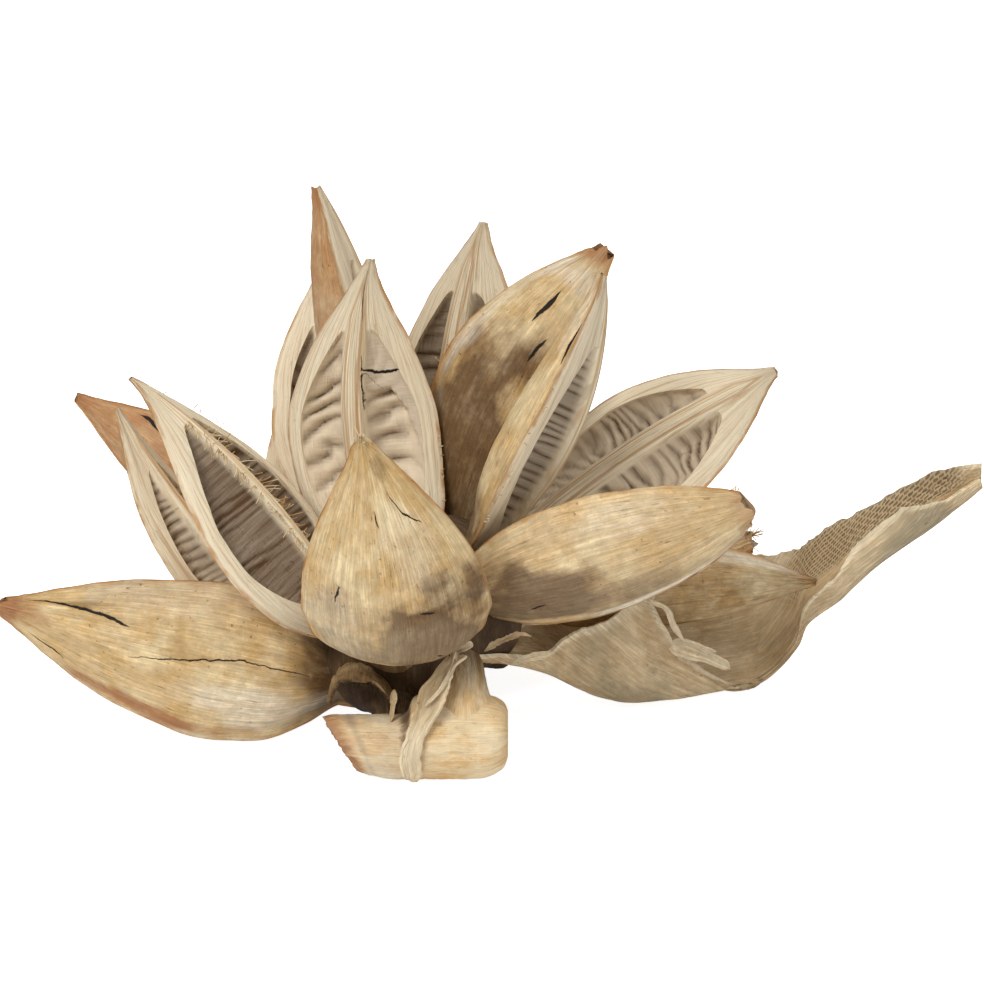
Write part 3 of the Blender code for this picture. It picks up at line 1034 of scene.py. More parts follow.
        widest = self.width / 2
        across = both(y / half * widest, widest + turn * float(girth.max()))
        made.grain[..., 0] = share * self.length + self.seed * 137.0
        made.grain[..., 1] = np.concatenate([across, across[:, :1] + 1.0], axis=1) + self.seed * 61.0
        rim_mm = half - size - 30 * smooth_step(share, 0.94, 0.97) * look.skin_tip
        made.masks["rim_mm"] = both(rim_mm, -np.minimum(turn, 1 - turn) * girth)
        made.masks["pocket"] = both(pocket, 0)
        made.masks["crest"] = both(crest, 0)
        made.masks["septum_mm"] = both(np.where(share > 0.02, septum - size, -1), -5)
        place_front = np.broadcast_to(y / half, y.shape)
        place_back = np.broadcast_to(2 * turn - 1, back_shape)
        levels = {}
        for kind in Stain:
            on_front, on_back = np.zeros(y.shape), np.full(back_shape, float(look.tints[kind]))
            for spot in look.spots:
                if spot.kind is kind:
                    target, place = (on_back, place_back) if spot.outside else (on_front, place_front)
                    target += self.spot_mask(spot, share, place)
            # Brown at each valve's base, on the open side and the back, is painted shade where the valves
            # crowd round the knob.
            if kind is BROWN:
                on_back += look.base_shade * smooth_step(share, 0.2, 0.0)
                on_front += look.base_shade * smooth_step(share, 0.28, 0.0)
            if kind is RED:
                on_back += look.tip * smooth_step(share, 0.93, 0.985)
                on_front += look.tip * smooth_step(share, 0.96, 1.0)
            levels[kind] = both(on_front, on_back)
        made.paint(levels)
        inner = self.split_field(False, share, place_front)
        outer = self.split_field(True, share, place_back)
        for mask, on_front, on_back in zip(("split_mm", "split_open"), inner, outer):
            made.masks[mask] = both(on_front, on_back)

    def spot_mask(self, spot: Spot, share: np.ndarray, place: np.ndarray) -> np.ndarray:
        """A stain's strength over a side.

        Args:
            spot: The stain.
            share: Shares of the length.
            place: Places across the side, from -1 to 1.

        Returns:
            Strength at each point.
        """
        wander = 0.4 * cloud(share * 8, place * 3, self.seed + 29, 4)
        reach = np.hypot((share - spot.along) / spot.length, (place - spot.across) / spot.width) + wander
        return spot.strength * smooth_step(reach, 1.35, 0.35)

    def split_field(self, outside: bool, share: np.ndarray,
                    place: np.ndarray) -> tuple[np.ndarray, np.ndarray]:
        """How far each point is from the nearest split of a side.

        Args:
            outside: Whether the side is the round back.
            share: Shares of the length.
            place: Places across the side, from -1 to 1.

        Returns:
            Millimetres to the left (above zero) or right of the split, and half the width it is open there.
        """
        u, v = np.broadcast_to(share * self.length, place.shape), place * self.width / 2
        nearest, offset = np.full(place.shape, 99.0), np.full(place.shape, 9.0)
        opening = np.full(place.shape, SurfaceMesh.NOWHERE["split_open"])
        for split in self.look.cracks:
            if split.outside is not outside:
                continue
            line = np.array([(a * self.length, b * self.width / 2) for a, b in split.line])
            for number, (start, end) in enumerate(zip(line[:-1], line[1:])):
                step = end - start
                size = float(np.hypot(*step))
                way = np.clip(((u - start[0]) * step[0] + (v - start[1]) * step[1]) / size ** 2, 0, 1)
                gap = np.hypot(u - start[0] - way * step[0], v - start[1] - way * step[1])
                sideways = ((u - start[0]) * step[1] - (v - start[1]) * step[0]) / size
                taper = np.sin(pi * np.clip((number + way) / (len(line) - 1), 0.02, 0.98)) ** 0.6
                better = gap < nearest
                nearest = np.where(better, gap, nearest)
                offset = np.where(better, sideways, offset)
                opening = np.where(better, split.width / 2 * taper - (gap - np.abs(sideways)), opening)
        return offset, opening


# Wear and colour of the valves that differ from the usual ones.
LOOKS = {
    "valve_left_low": Look(
        base_shade=0.25, tip=1.0, back_cells=96, ragged=1.6, rows=170, skin_tip=True,
        spots=(Spot(PALE, True, 0.46, 0.84, 0.35, 0.5, 0.4), Spot(BROWN, True, 0.03, 0.0, 0.12, 1.2, 0.8),
               Spot(GREY, True, 0.68, 0.77, 0.15, 0.3, 0.4), Spot(RED, True, 0.92, 0.1, 0.06, 0.8, 0.5),
               Spot(BROWN, True, 0.95, 0.2, 0.05, 0.6, 0.35),
               Spot(RED, True, 0.55, -0.83, 0.28, 0.13, 0.9), Spot(BROWN, True, 0.55, -0.8, 0.3, 0.12, 0.5),
               Spot(PALE, True, 0.6, -0.99, 0.5, 0.07, 1.0), Spot(BROWN, True, 0.8, 0.5, 0.1, 0.1, 0.5),
               Spot(PALE, True, 0.25, -0.45, 0.25, 0.35, 0.7), Spot(BROWN, True, 0.42, 0.1, 0.14, 0.2, 0.25)),
        cracks=(Crack(True, ((0.93, 0.65), (0.84, 0.52), (0.69, 0.32), (0.64, 0.23)), 1.1),
                Crack(True, ((0.62, -0.16), (0.48, -0.03), (0.32, 0.10), (0.11, 0.06)), 0.35),
                Crack(True, ((0.90, -0.66), (0.83, -0.65), (0.80, -0.70)), 0.7))),
    "valve_left_middle": Look(ribs=22, rib_height=1.3, warp=0.8, brightness=-0.1, contrast=1.0,
                              closeness=0.7, rows=230),
    "valve_left_front": Look(ribs=24, rib_height=0.45, silk=0.3, brightness=-0.45, contrast=0.45, rows=230,
                             tip=0.8, spots=(Spot(RED, False, 0.96, -0.6, 0.08, 0.6, 0.5),)),
    "valve_left_back": Look(tints=(0.05, 0.0, 0.0, 0.8), tip=0.4, back_cells=72, skin_tip=True,
                            cracks=(Crack(True, ((0.80, 0.72), (0.77, 0.65), (0.72, 0.45)), 1.5),)),
    "valve_rear_tall": Look(tints=(0.2, 0.0, 0.0, 0.65), tip=0.4, ribs=9, rib_height=0.4, brightness=-0.2),
    "valve_rear_left": Look(ribs=9, rib_height=0.3, brightness=-0.4,
                            spots=(Spot(PALE, False, 0.5, -0.95, 0.5, 0.2, 0.6),)),
    "valve_centre": Look(ribs=9.5, rib_height=3.0, warp=0.8, brightness=0.28, contrast=0.9, rows=200,
                         membrane=((0.1, 0.62), (0.45, 0.60), (0.6, 0.53), (0.72, 0.44), (0.85, 0.32),
                                   (1, 0.25)),
                         cracks=(Crack(False, ((0.68, 0.14), (0.665, 0.3), (0.665, 0.5), (0.67, 0.68)), 0.9),
                                 Crack(False, ((0.72, 0.155), (0.64, 0.15), (0.56, 0.15)), 0.35),
                                 Crack(False, ((0.97, 0.14), (0.9, 0.12), (0.82, 0.16)), 0.6))),
    "valve_front": Look(
        tip=0.0, back_cells=90, lumps=0.9, rows=170, ragged=1.4, skin_tip=True,
        spots=(Spot(BROWN, True, 0.50, 0.62, 0.10, 0.42, 0.8), Spot(BROWN, True, 0.40, 0.26, 0.08, 0.3, 0.6),
               Spot(BROWN, True, 0.34, 0.62, 0.24, 0.6, 0.9), Spot(BROWN, True, 0.24, 0.25, 0.18, 0.6, 0.7),
               Spot(GREY, True, 0.28, 0.4, 0.18, 0.6, 0.5), Spot(PALE, True, 0.40, -0.58, 0.17, 0.4, 0.35),
               Spot(GREY, True, 0.32, -0.5, 0.2, 0.5, 0.7), Spot(PALE, True, 0.72, 0.3, 0.2, 0.35, 0.35),
               Spot(BROWN, True, 0.54, -0.52, 0.05, 0.12, 0.4), Spot(BROWN, True, 0.93, 0.3, 0.04, 0.5, 0.5)),
        cracks=(Crack(True, ((0.57, -0.50), (0.50, -0.56)), 0.5),
                Crack(True, ((0.465, 0.27), (0.455, 0.40)), 0.8),
                Crack(True, ((0.225, 0.42), (0.19, 0.50), (0.19, 0.56)), 0.8),
                Crack(True, ((0.86, 0.30), (0.80, 0.42), (0.76, 0.62)), 0.5),
                Crack(True, ((0.81, -0.06), (0.77, -0.02)), 0.5))),
    "valve_rear_middle": Look(ribs=16, rib_height=0.8, brightness=-0.36, rows=200),
    "valve_right_tall": Look(
        tip=0.9, ragged=2.2, back_cells=72, skin_tip=True,
        tints=(0.22, 0.0, 0.0, 0.0),
        # The full-width brown near the base is painted shade; the brown low on the left is partly a stain and
        # partly painted shade.
        spots=(Spot(BROWN, True, 0.42, -0.2, 0.26, 0.6, 0.45), Spot(BROWN, True, 0.18, 0.0, 0.2, 1.3, 1.0),
               Spot(BROWN, True, 0.30, -0.6, 0.35, 0.4, 0.6), Spot(PALE, True, 0.90, 0.0, 0.06, 0.9, 0.55),
               Spot(BROWN, True, 0.62, 0.25, 0.12, 0.25, 0.6), Spot(PALE, True, 0.7, -0.8, 0.3, 0.2, 0.5)),
        cracks=(Crack(True, ((0.84, -0.03), (0.79, -0.03), (0.73, -0.08)), 1.5),
                Crack(True, ((0.70, 0.28), (0.62, 0.2)), 1.0))),
    "valve_right_narrow": Look(ribs=22, rib_height=1.5, brightness=-0.22, contrast=0.9, closeness=0.7,
                               rows=230, back_cells=60,
                               spots=(Spot(BROWN, True, 0.15, 0.4, 0.2, 0.6, 0.8),
                                      Spot(PALE, True, 0.9, 0.6, 0.12, 0.6, 0.5)),
                               cracks=(Crack(True, ((0.85, 0.82), (0.72, 0.86)), 1.4),)),
    "valve_right_middle": Look(ribs=17, rib_height=2.0, warp=1.0, brightness=0.02, contrast=1.0,
                               closeness=0.5, rows=230,
                               spots=(Spot(RED, False, 0.97, 0.0, 0.03, 0.9, 0.6),)),
    "valve_right_front": Look(
        tints=(0.0, 0.0, 0.18, 0.0), tip=0.5, ragged=1.8, back_cells=72, skin_tip=True,
        spots=(Spot(BROWN, True, 0.22, 0.2, 0.25, 0.6, 1.0), Spot(BROWN, True, 0.5, 0.55, 0.32, 0.4, 0.75),
               Spot(GREY, True, 0.60, 0.5, 0.25, 0.35, 0.4), Spot(PALE, True, 0.62, -0.6, 0.3, 0.3, 0.25),
               Spot(BROWN, True, 0.2, -0.4, 0.1, 0.4, 0.6), Spot(PALE, True, 0.7, 0.95, 0.4, 0.12, 0.8)),
        cracks=(Crack(True, ((0.30, 0.42), (0.24, 0.5)), 0.6),)),
    "valve_right_back": Look(tints=(0.1, 0.0, 0.15, 0.15), tip=0.3, ragged=3.0, fibres=0.3),
    "valve_right_low": Look(tints=(0.55, 0.0, 0.0, 0.0), tip=0.2, fibres=0.35,
                            spots=(Spot(PALE, True, 0.85, -0.8, 0.2, 0.3, 0.8),)),
}

# The fields of each valve, from its name to its beak, as in the CAD part.
VALVE_ROWS = (
    ("valve_left_low", (-21.7, 32.0, 14.9), (-119.7, 30.0, 39.4), (-0.10, 0.94, -0.32),
     45, 0.45, 0.5, 0.33, 0, 1.5, 2, 0.03, 1),
    ("valve_left_middle", (-27.7, 38.0, 20.2), (-86.0, 48.0, 93.4), (0.66, -0.46, 0.59),
     29, 0.58, 0.3, 0.42, -3, -1.5, 2.0, 0, 1),
    ("valve_left_front", (-17.0, 20.0, 37.6), (-80.4, 36.0, 107.2), (0.62, -0.42, 0.66),
     45, 0.5, 0.34, 0.36, 9, 0, 1.3, 0, 1.35),
    ("valve_left_back", (-21.2, 62.0, 27.1), (-104.3, 96.0, 79.0), (0.14, 0.91, -0.38),
     30, 0.45, 0.42, 0.42, 0, -2.5, 2, 0.01, 1),
    ("valve_rear_tall", (-2.3, 72.0, 39.0), (-29.9, 103.0, 142.8), (0.96, 0.22, 0.19),
     36.5, 0.62, 0.5, 0.5, 8, 0, 2, 0, 0.9),
    ("valve_rear_left", (-14.2, 69.0, 35.1), (-30.9, 140.0, 107.2), (0.33, -0.63, 0.70),
     33, 0.5, 0.4, 0.45, 0, -6, 2, 0, 1),
    ("valve_centre", (-6.0, 32.0, 40.4), (-13.7, 60.0, 134.5), (-0.23, -0.94, 0.26),
     46.5, 0.5, 0.34, 0.44, 0, -9.5, 3.4, 0, 1.15),
    ("valve_front", (-6.1, 14.0, 36.0), (-12.6, -28.0, 113.7), (0.02, 0.88, 0.48),
     53, 0.45, 0.52, 0.36, 0, -4, 2, 0.01, 1),
    ("valve_rear_middle", (7.4, 63.0, 39.6), (18.1, 98.0, 133.2), (-0.44, -0.82, 0.36),
     46, 0.5, 0.38, 0.45, 0, -7, 3.2, 0, 1.05),
    ("valve_right_tall", (9.3, 58.0, 45.6), (53.9, 78.0, 130.9), (0.19, 0.93, -0.32),
     38, 0.5, 0.46, 0.48, 0, 7.5, 2, 0.045, 1.0),
    ("valve_right_narrow", (17.7, 22.0, 58.4), (52.5, 29.0, 139.0), (0.90, -0.22, -0.37),
     39, 0.58, 0.45, 0.45, 11, 0, 1.6, 0, 1),
    ("valve_right_middle", (23.4, 46.0, 49.4), (102.5, 56.0, 101.8), (-0.27, -0.78, 0.56),
     41, 0.5, 0.4, 0.5, 0, -4.5, 3.2, 0, 1),
    ("valve_right_front", (11.5, 20.0, 48.8), (92.1, 6.0, 81.1), (0.14, 0.99, 0.08),
     37, 0.45, 0.45, 0.42, 0, 1.8, 2, 0.1, 1),
    ("valve_right_back", (20.5, 57.0, 35.7), (98.4, 73.0, 42.5), (-0.21, 0.97, 0.12),
     23, 0.45, 0.4, 0.42, 0, -1.5, 2, 0.1, 1),
    ("valve_right_low", (23.4, 44.0, 36.0), (116.9, 54.0, 36.7), (-0.11, 0.99, -0.04),
     27, 0.45, 0.45, 0.45, 0, 4, 2, 0, 1),
    ("valve_back_left", (-16.0, 66.0, 25.9), (-42.9, 126.0, 66.3), (0.62, -0.22, 0.75),
     34, 0.5, 0.4, 0.45, 0, 0, 2, 0, 1),
    ("valve_back_low", (0, 62, 21.2), (-14, 146, 21), (0, -0.1, 0.98),
     42, 0.5, 0.4, 0.42, -2, 0, 2, 0, 1),
    ("valve_back_right", (18, 60, 27), (70, 135, 34), (-0.1, -0.2, 0.97),
     40, 0.5, 0.4, 0.45, 0, 0, 2, 0, 1),
)
VALVES = tuple(Valve(*row, LOOKS.get(row[0], Look()), seed) for seed, row in enumerate(VALVE_ROWS, 1))


def sheet_normals(sheet: np.ndarray) -> np.ndarray:
    """Directions square to a sheet.

    Args:
        sheet: Rows by columns by three.

    Returns:
        Unit vectors towards the right-hand side of rows and columns.
    """
    return unit(np.cross(np.gradient(sheet, axis=0), np.gradient(sheet, axis=1)))


def sheet_loops(outside: np.ndarray, wall: float) -> np.ndarray:
    """Gives an open sheet its thickness.

    Args:
        outside: Rows by columns by three, in millimetres.
        wall: Its thickness, towards the right-hand side of rows and columns.

    Returns:
        Closed rings, the inside first and then the outside backwards.
    """
    return np.concatenate([outside + sheet_normals(outside) * wall, outside[:, ::-1]], axis=1)


@dataclass(frozen=True)
class Bract:
    """The boat-shaped bract: one curved sheet with a near wall, a keel and a far wall.

    Attributes:
        keel: Points of its lowest line, from the stalk out to the tip.
        near: Points of its upper edge towards the viewer.
        far: Points of its upper edge at the back.
        wall: Its thickness.
    """

    keel: tuple[Point, ...] = KEEL_POINTS
    near: tuple[Point, ...] = NEAR_POINTS
    far: tuple[Point, ...] = FAR_POINTS
    wall: float = 1.1
    ROWS = 240
    NEAR_CELLS = 36
    FAR_CELLS = 46
    # Millimetres of the lowest wall, of the length and of each wall's height as the veins are spaced.
    LIP = 1.2
    LENGTH = 190
    REACH = 45
    # Shares of the length between which the near wall's lobe ends, and the way of its veins, right and up.
    LOBE = (0.56, 0.5)
    LOBE_WAY = (0.72, -0.69)
    # Grey areas: strength, middle, half size, wander, and the distances where each starts and is full.
    MOULD = ((1.0, 0.27, 0.45, 0.10, 0.45, 0.5, 1.3, 0.3), (0.8, 0.88, 0.4, 0.06, 0.6, 0.4, 1.2, 0.4))

    def build(self, material: bpy.types.Material) -> bpy.types.Object:
        """Builds the bract.

        Args:
            material: The dry bract's material.

        Returns:
            The object.
        """
        share = np.linspace(0, 1, self.ROWS)
        across = np.concatenate([np.linspace(-1, 0, self.NEAR_CELLS + 1)[:-1],
                                 np.linspace(0, 1, self.FAR_CELLS + 1)])
        outside, height = self.sheet(share, across)
        along, over = share[:, None] * self.LENGTH, across[None, :] * self.REACH
        relief = 0.5 * cloud(along / 16, over / 12, 73, 3) * (1 - np.abs(across)[None, :] ** 6)
        relief += 0.10 * np.cos(2 * pi * (over + 1.5 * cloud(along / 30, over / 20, 79, 2)) / 1.7)
        outside = outside + sheet_normals(outside) * relief[..., None]
        made = SurfaceMesh(sheet_loops(outside, self.wall))
        both = np.concatenate([across, across[::-1]])
        way = np.concatenate([both, both[:1]])
        place = np.concatenate([made.points, made.points[:, :1]], axis=1)
        tall = np.concatenate([height, height[:, ::-1], height[:, :1]], axis=1)
        lobe = (way < 0) * smooth_step(share, *self.LOBE)[:, None]
        run, rise = self.LOBE_WAY
        made.grain[..., 0] = along + lobe * (run * place[..., 0] + rise * place[..., 2] - along)
        made.grain[..., 1] = (lobe * (-rise * place[..., 0] + run * place[..., 2] + 200)
                              + (1 - lobe) * way * tall)
        shape = made.points.shape[:2]
        inside = np.broadcast_to(np.arange(len(both)) < len(across), shape)
        length, place = np.broadcast_to(share[:, None], shape), np.broadcast_to(both, shape)
        made.paint(self.stains(length, place, inside))
        lattice = 0.8 * smooth_step(length, 0.56, 0.66) * smooth_step(place, 0.5, 0.62) * inside
        made.masks["lattice"] = lattice * smooth_step(length, 0.985, 0.95)
        return made.build("bract_visual", material)

    def sheet(self, share: np.ndarray, across: np.ndarray) -> tuple[np.ndarray, np.ndarray]:
        """Works out the smooth outside with its torn edges.

        Args:
            share: Shares of the length.
            across: Places from -1 at the near edge over 0 at the keel to 1 at the far edge.

        Returns:
            Rows by columns by three, and how tall the wall is at each of them, in millimetres.
        """
        keel, near, far = (catmull(np.asarray(line, float), share * (len(line) - 1))
                           for line in (self.keel, self.near, self.far))
        outside = np.zeros((self.ROWS, len(across), 3))
        height = np.zeros((self.ROWS, len(across)))
        for edge, sign, uneven, chosen in ((near, -1, 0.9, across < 0), (far, 1, 0.5, across >= 0)):
            reach = edge - keel
            tall = np.maximum(np.linalg.norm(reach, axis=1, keepdims=True), self.LIP)
            sideways = unit(np.stack([0.25 * reach[:, 0] / tall[:, 0], np.full(self.ROWS, float(sign)),
                                      np.zeros(self.ROWS)], axis=1))
            torn = uneven * cloud(share * 55, share * 0 + sign, 71, 3) * smooth_step(tall[:, 0], 3, 12)
            tall_torn = np.maximum(tall[:, 0] + torn, self.LIP)[:, None]
            bend, top = keel + sideways * 0.5 * tall, keel + unit(reach) * tall_torn
            way = np.abs(across[chosen])[None, :, None]
            outside[:, chosen] = ((1 - way) ** 2 * keel[:, None] + 2 * way * (1 - way) * bend[:, None]
                                  + way ** 2 * top[:, None])
            height[:, chosen] = tall
        return outside, height

    def stains(self, length: np.ndarray, place: np.ndarray, inside: np.ndarray) -> dict[Stain, np.ndarray]:
        """Works out the bract's stains.

        Args:
            length: Share of the length at each point.
            place: From -1 at the near edge to 1 at the far edge.
            inside: Whether the point is on the inside.

        Returns:
            Strength of each stain at each point.
        """
        wander = cloud(length * 14, place * 3, 83, 3)
        edge = smooth_step(np.abs(place) + 0.03 * wander, 0.9, 0.97)
        near = smooth_step(length, 0.28, 0.42) * smooth_step(place, 0.1, -0.1) * ~inside
        mould = 0.0
        for strength, along, across, reach, spread, rough, low, high in self.MOULD:
            away = np.hypot((length - along) / reach, (place + across) / spread) + rough * wander
            mould = mould + strength * smooth_step(away, low, high)
        grey = (0.7 * mould + 0.25 * smooth_step(length, 0.4, 0.6)) * ~inside + 0.1 * inside
        brown = 0.25 * smooth_step(place, -0.2, 0.4) * inside * smooth_step(length, 0.75, 0.3)
        return {BROWN: brown, GREY: grey, PALE: edge + 0.3 * near}


@dataclass(frozen=True)
class Sheath:
    """The pale torn sheath: a thin strip up the stalk's front.

    Attributes:
        rows: From the bottom up: left, right, depth and height.
        wall: Its thickness.
    """

    rows: tuple[tuple[float, float, float, float], ...] = SHEATH_POINTS
    wall: float = 0.9
    ROWS = 110
    CELLS = 26

    def build(self, material: bpy.types.Material) -> bpy.types.Object:
        """Builds the sheath.

        Args:
            material: The dry bract's material.

        Returns:
            The object.
        """
        share = np.linspace(0, 1, self.ROWS)
        left, right, depth, height = catmull(np.asarray(self.rows, float), share * (len(self.rows) - 1)).T
        left = left + 0.5 * cloud(share * 12, share * 0, 91, 3)
        right = right + 0.6 * cloud(share * 14, share * 0, 93, 3)
        across = np.linspace(0, 1, self.CELLS)[None, :]
        x = left[:, None] + (right - left)[:, None] * across
        lift = 0.5 * cloud(share[:, None] * 7, across * 2, 95, 3) + 0.8 * np.abs(2 * across - 1) ** 4
        outside = np.stack([x, depth[:, None] - 0.4 - lift,
                            np.broadcast_to(height[:, None], x.shape)], axis=2)
        made = SurfaceMesh(sheet_loops(outside[:, ::-1], self.wall))
        both = np.concatenate([across[0, ::-1], across[0]])
        made.grain[..., 0] = share[:, None] * 32
        made.grain[..., 1] = np.concatenate([both * 8, both[:1] * 8]) + 300
        place = np.broadcast_to(both, made.points.shape[:2])
        length = np.broadcast_to(share[:, None], place.shape)
        pale = 0.9 * smooth_step(length, 0.58, 0.4) + 0.8 * smooth_step(place, 0.86, 0.95)
        made.paint({GREY: 0.35 * smooth_step(length, 0.45, 0.6) * smooth_step(place, 0.92, 0.7), PALE: pale})
        return made.build("sheath_visual", material)


@dataclass(frozen=True)
class Stub:
    """The curled stub of a broken bract: an arch over the stalk's left end.

    Attributes:
        arch: Positions and heights of its outer line.
        depths: How deep each of its sections lies.
        narrowing: Size of each section.
        wall: Its thickness.
    """

    arch: tuple[tuple[float, float], ...] = STUB_POINTS
    depths: tuple[float, ...] = (3.5, 8, 13, 18, 22)
    narrowing: tuple[float, ...] = (1.0, 1.02, 0.96, 0.88, 0.78)
    wall: float = 1.2
    ROWS = 46
    CELLS = 90

    def build(self, material: bpy.types.Material) -> bpy.types.Object:
        """Builds the stub.

        Args:
            material: The dry bract's material.

        Returns:
            The object.
        """
        row = np.linspace(0, len(self.depths) - 1, self.ROWS)
        depth, narrowing = catmull(np.stack([self.depths, self.narrowing], 1).astype(float), row).T
        arch = catmull(np.asarray(self.arch, float), np.linspace(0, len(self.arch) - 1, self.CELLS))
        centre = np.asarray(self.arch, float).mean(axis=0)
        along = np.linspace(0, 1, self.CELLS)[None, :]
        flat = centre + (arch - centre)[None] * narrowing[:, None, None]
        torn = 3.0 * cloud(along * 7, along * 0, 97, 4) * smooth_step(row, 1.6, 0)[:, None]
        deep = np.broadcast_to(depth[:, None], flat.shape[:2]) + torn
        wave = 1.1 * cloud(along * 7, deep / 4, 99, 4)
        outside = np.stack([flat[..., 0], deep, flat[..., 1] + wave], axis=2)
        made = SurfaceMesh(sheet_loops(outside, self.wall))
        both = np.concatenate([along[0], along[0, ::-1]])
        made.grain[..., 0] = deep[:, :1] + 500
        made.grain[..., 1] = np.concatenate([both * 36, both[:1] * 36])
        # The inside of the arch is painted full brown as the shade under it; the outside keeps a little brown
        # of its own.
        made.paint({BROWN: np.where(np.arange(len(both)) < self.CELLS, 1.0, 0.25)})
        return made.build("bract_stub_visual", material)


@dataclass(frozen=True)
class Stalk:
    """The cut stalk on its side, its two necks and the knob that the valves stand on.

    Attributes:
        sections: From left to right: position, radius, height of the middle.
        centre_y: How far back its middle is.
        lean: How much the left cut leans.
        turn: How much the left cut turns.
        front_neck: Positions from the stalk up, with a radius.
        rear_neck: The same for the other neck.
        knob_centre: Middle of the knob.
    """

    sections: tuple[Point, ...] = STALK_POINTS
    centre_y: float = 2.0
    lean: float = 0.55
    turn: float = 0.35
    front_neck: tuple[tuple[float, ...], ...] = (
        (13, 3, 13, 12.0), (13.2, 3.4, 18.5, 10.6), (13.4, 4.2, 22, 8.2), (13.5, 8, 27, 5.9),
        (11, 16, 31, 6.8), (8, 28, 33, 8))
    rear_neck: tuple[tuple[float, ...], ...] = (
        (-5, 7, 8.5, 7), (-6, 15, 13, 7.5), (-6, 21, 19, 8.5), (-3, 28, 26, 10))
    knob_centre: Point = (2.0, 36.0, 30.0)
    # The knob: how far it reaches past the valves' bases and downwards, and how sharply it follows them.
    COVER = 2.5
    UNDERSIDE = 14.0
    SMOOTHING = 14.0
    # Rings of the lying part's ends and of its length.
    END_ROWS = 12
    ROWS = 130

    def build(self, material: bpy.types.Material, dark: bpy.types.Material) -> list[bpy.types.Object]:
        """Builds the stalk's pieces.

        Args:
            material: The stalk's material.
            dark: Material of the brown tissue between the valves, its darkness partly painted shade of the
                hollows.

        Returns:
            The objects.
        """
        # The rear neck lies in the hollow under the stub's arch and is painted almost fully brown as its
        # shade.
        return [self.log(material), self.neck("front", self.front_neck, 0.2, 201, material),
                self.neck("rear", self.rear_neck, 0.95, 203, dark), self.knob(dark)]

    def log(self, material: bpy.types.Material) -> bpy.types.Object:
        """Builds the lying part.

        Args:
            material: The stalk's material.

        Returns:
            The object.
        """
        last = len(self.sections) - 1
        closing = np.linspace(0.02, 0.97, self.END_ROWS)
        place = np.concatenate([0 * closing, np.linspace(0, last, self.ROWS), 0 * closing + last])
        shrink = np.concatenate([closing, np.ones(self.ROWS), closing[::-1]])
        x, radius, height = catmull(np.asarray(self.sections, float), place).T
        turn = np.linspace(0, 2 * pi, 121)[None, :-1]
        ring = x[:, None] / 5
        relief = 0.35 * cloud(ring, np.sin(turn) * 2 + np.cos(turn), 205, 3)
        relief += 0.10 * cloud(ring * 4.5, np.sin(turn) * 1.2, 207, 2)
        thick = radius[:, None] + relief
        y = thick * np.cos(turn)
        z = np.maximum(height[:, None] + thick * np.sin(turn), 0.02)
        slant = np.maximum(1 - place / 3, 0)[:, None]
        y, z = y * shrink[:, None], height[:, None] + (z - height[:, None]) * shrink[:, None]
        fibrous = 0.9 * cloud(y / 1.1, z / 1.6, 209, 3) * smooth_step(place, 1.2, 0.0)[:, None]
        lean = slant * (self.lean * (height[:, None] - z) - self.turn * y)
        points = np.stack([x[:, None] + lean + fibrous, self.centre_y + y, z], axis=2)
        made = SurfaceMesh(points[:, ::-1])
        made.grain[..., 0] = x[:, None] + 700 + np.cumsum(1 - shrink)[:, None]
        made.grain[..., 1] = (np.linspace(0, 2 * pi, 121) * 12)[None, ::-1]
        cut, high = smooth_step(place, 1.0, 0.1)[:, None], z[:, ::-1]
        pale = 0.35 * smooth_step(x, -2, -6)[:, None] * (1 - cut)
        pale = pale + 0.3 * smooth_step(high, 11, 4) * smooth_step(x, -4, -10)[:, None]
        brown = 0.8 * smooth_step(np.abs(x + 3.2), 2.2, 0.4)
        brown = brown + 0.45 * smooth_step(np.abs(place - 1.0), 0.35, 0.0)
        # Painted shadow of the stub's arch: brown on the log's top at its left end, under the arch.
        brown = brown[:, None] + 0.6 * smooth_step(high, 16, 20) * smooth_step(x, 0, -4)[:, None]
        made.paint({BROWN: brown, PALE: pale, RED: 0.9 * cut})
        return made.build("stalk_log_visual", material)

    def neck(self, name: str, path: tuple[tuple[float, ...], ...], brown: float, seed: int,
             material: bpy.types.Material) -> bpy.types.Object:
        """Builds a neck between the lying part and the knob.

        Args:
            name: Which neck.
            path: Positions with a radius.
            brown: How brown it is.
            seed: Which random pattern.
            material: The stalk's material.

        Returns:
            The object.
        """
        x, y, z, radius = catmull(np.asarray(path, float), np.linspace(0, len(path) - 1, 70)).T
        middle = np.stack([x, y, z], axis=1)
        along = unit(np.gradient(middle, axis=0))
        side = unit(np.cross(along, (1.0, 0, 0)))
        other = np.cross(along, side)
        turn = np.linspace(0, 2 * pi, 81)[:-1][None, :, None]
        way = np.linspace(0, 1, 70)[:, None]
        relief = 0.7 * cloud(way * 4, 1.5 * np.sin(turn[..., 0]) + np.cos(turn[..., 0]), seed, 4)
        thick = (radius[:, None] + relief)[..., None]
        points = middle[:, None] + thick * (side[:, None] * np.cos(turn) + other[:, None] * np.sin(turn))
        made = SurfaceMesh(points)
        made.grain[..., 0] = way * 34 + 900
        made.grain[..., 1] = np.linspace(0, 44, 81)[None, :]
        made.paint({BROWN: brown + (1 - brown) * smooth_step(way, 0.35, 0.75)})
        return made.build(f"stalk_{name}_neck_visual", material)

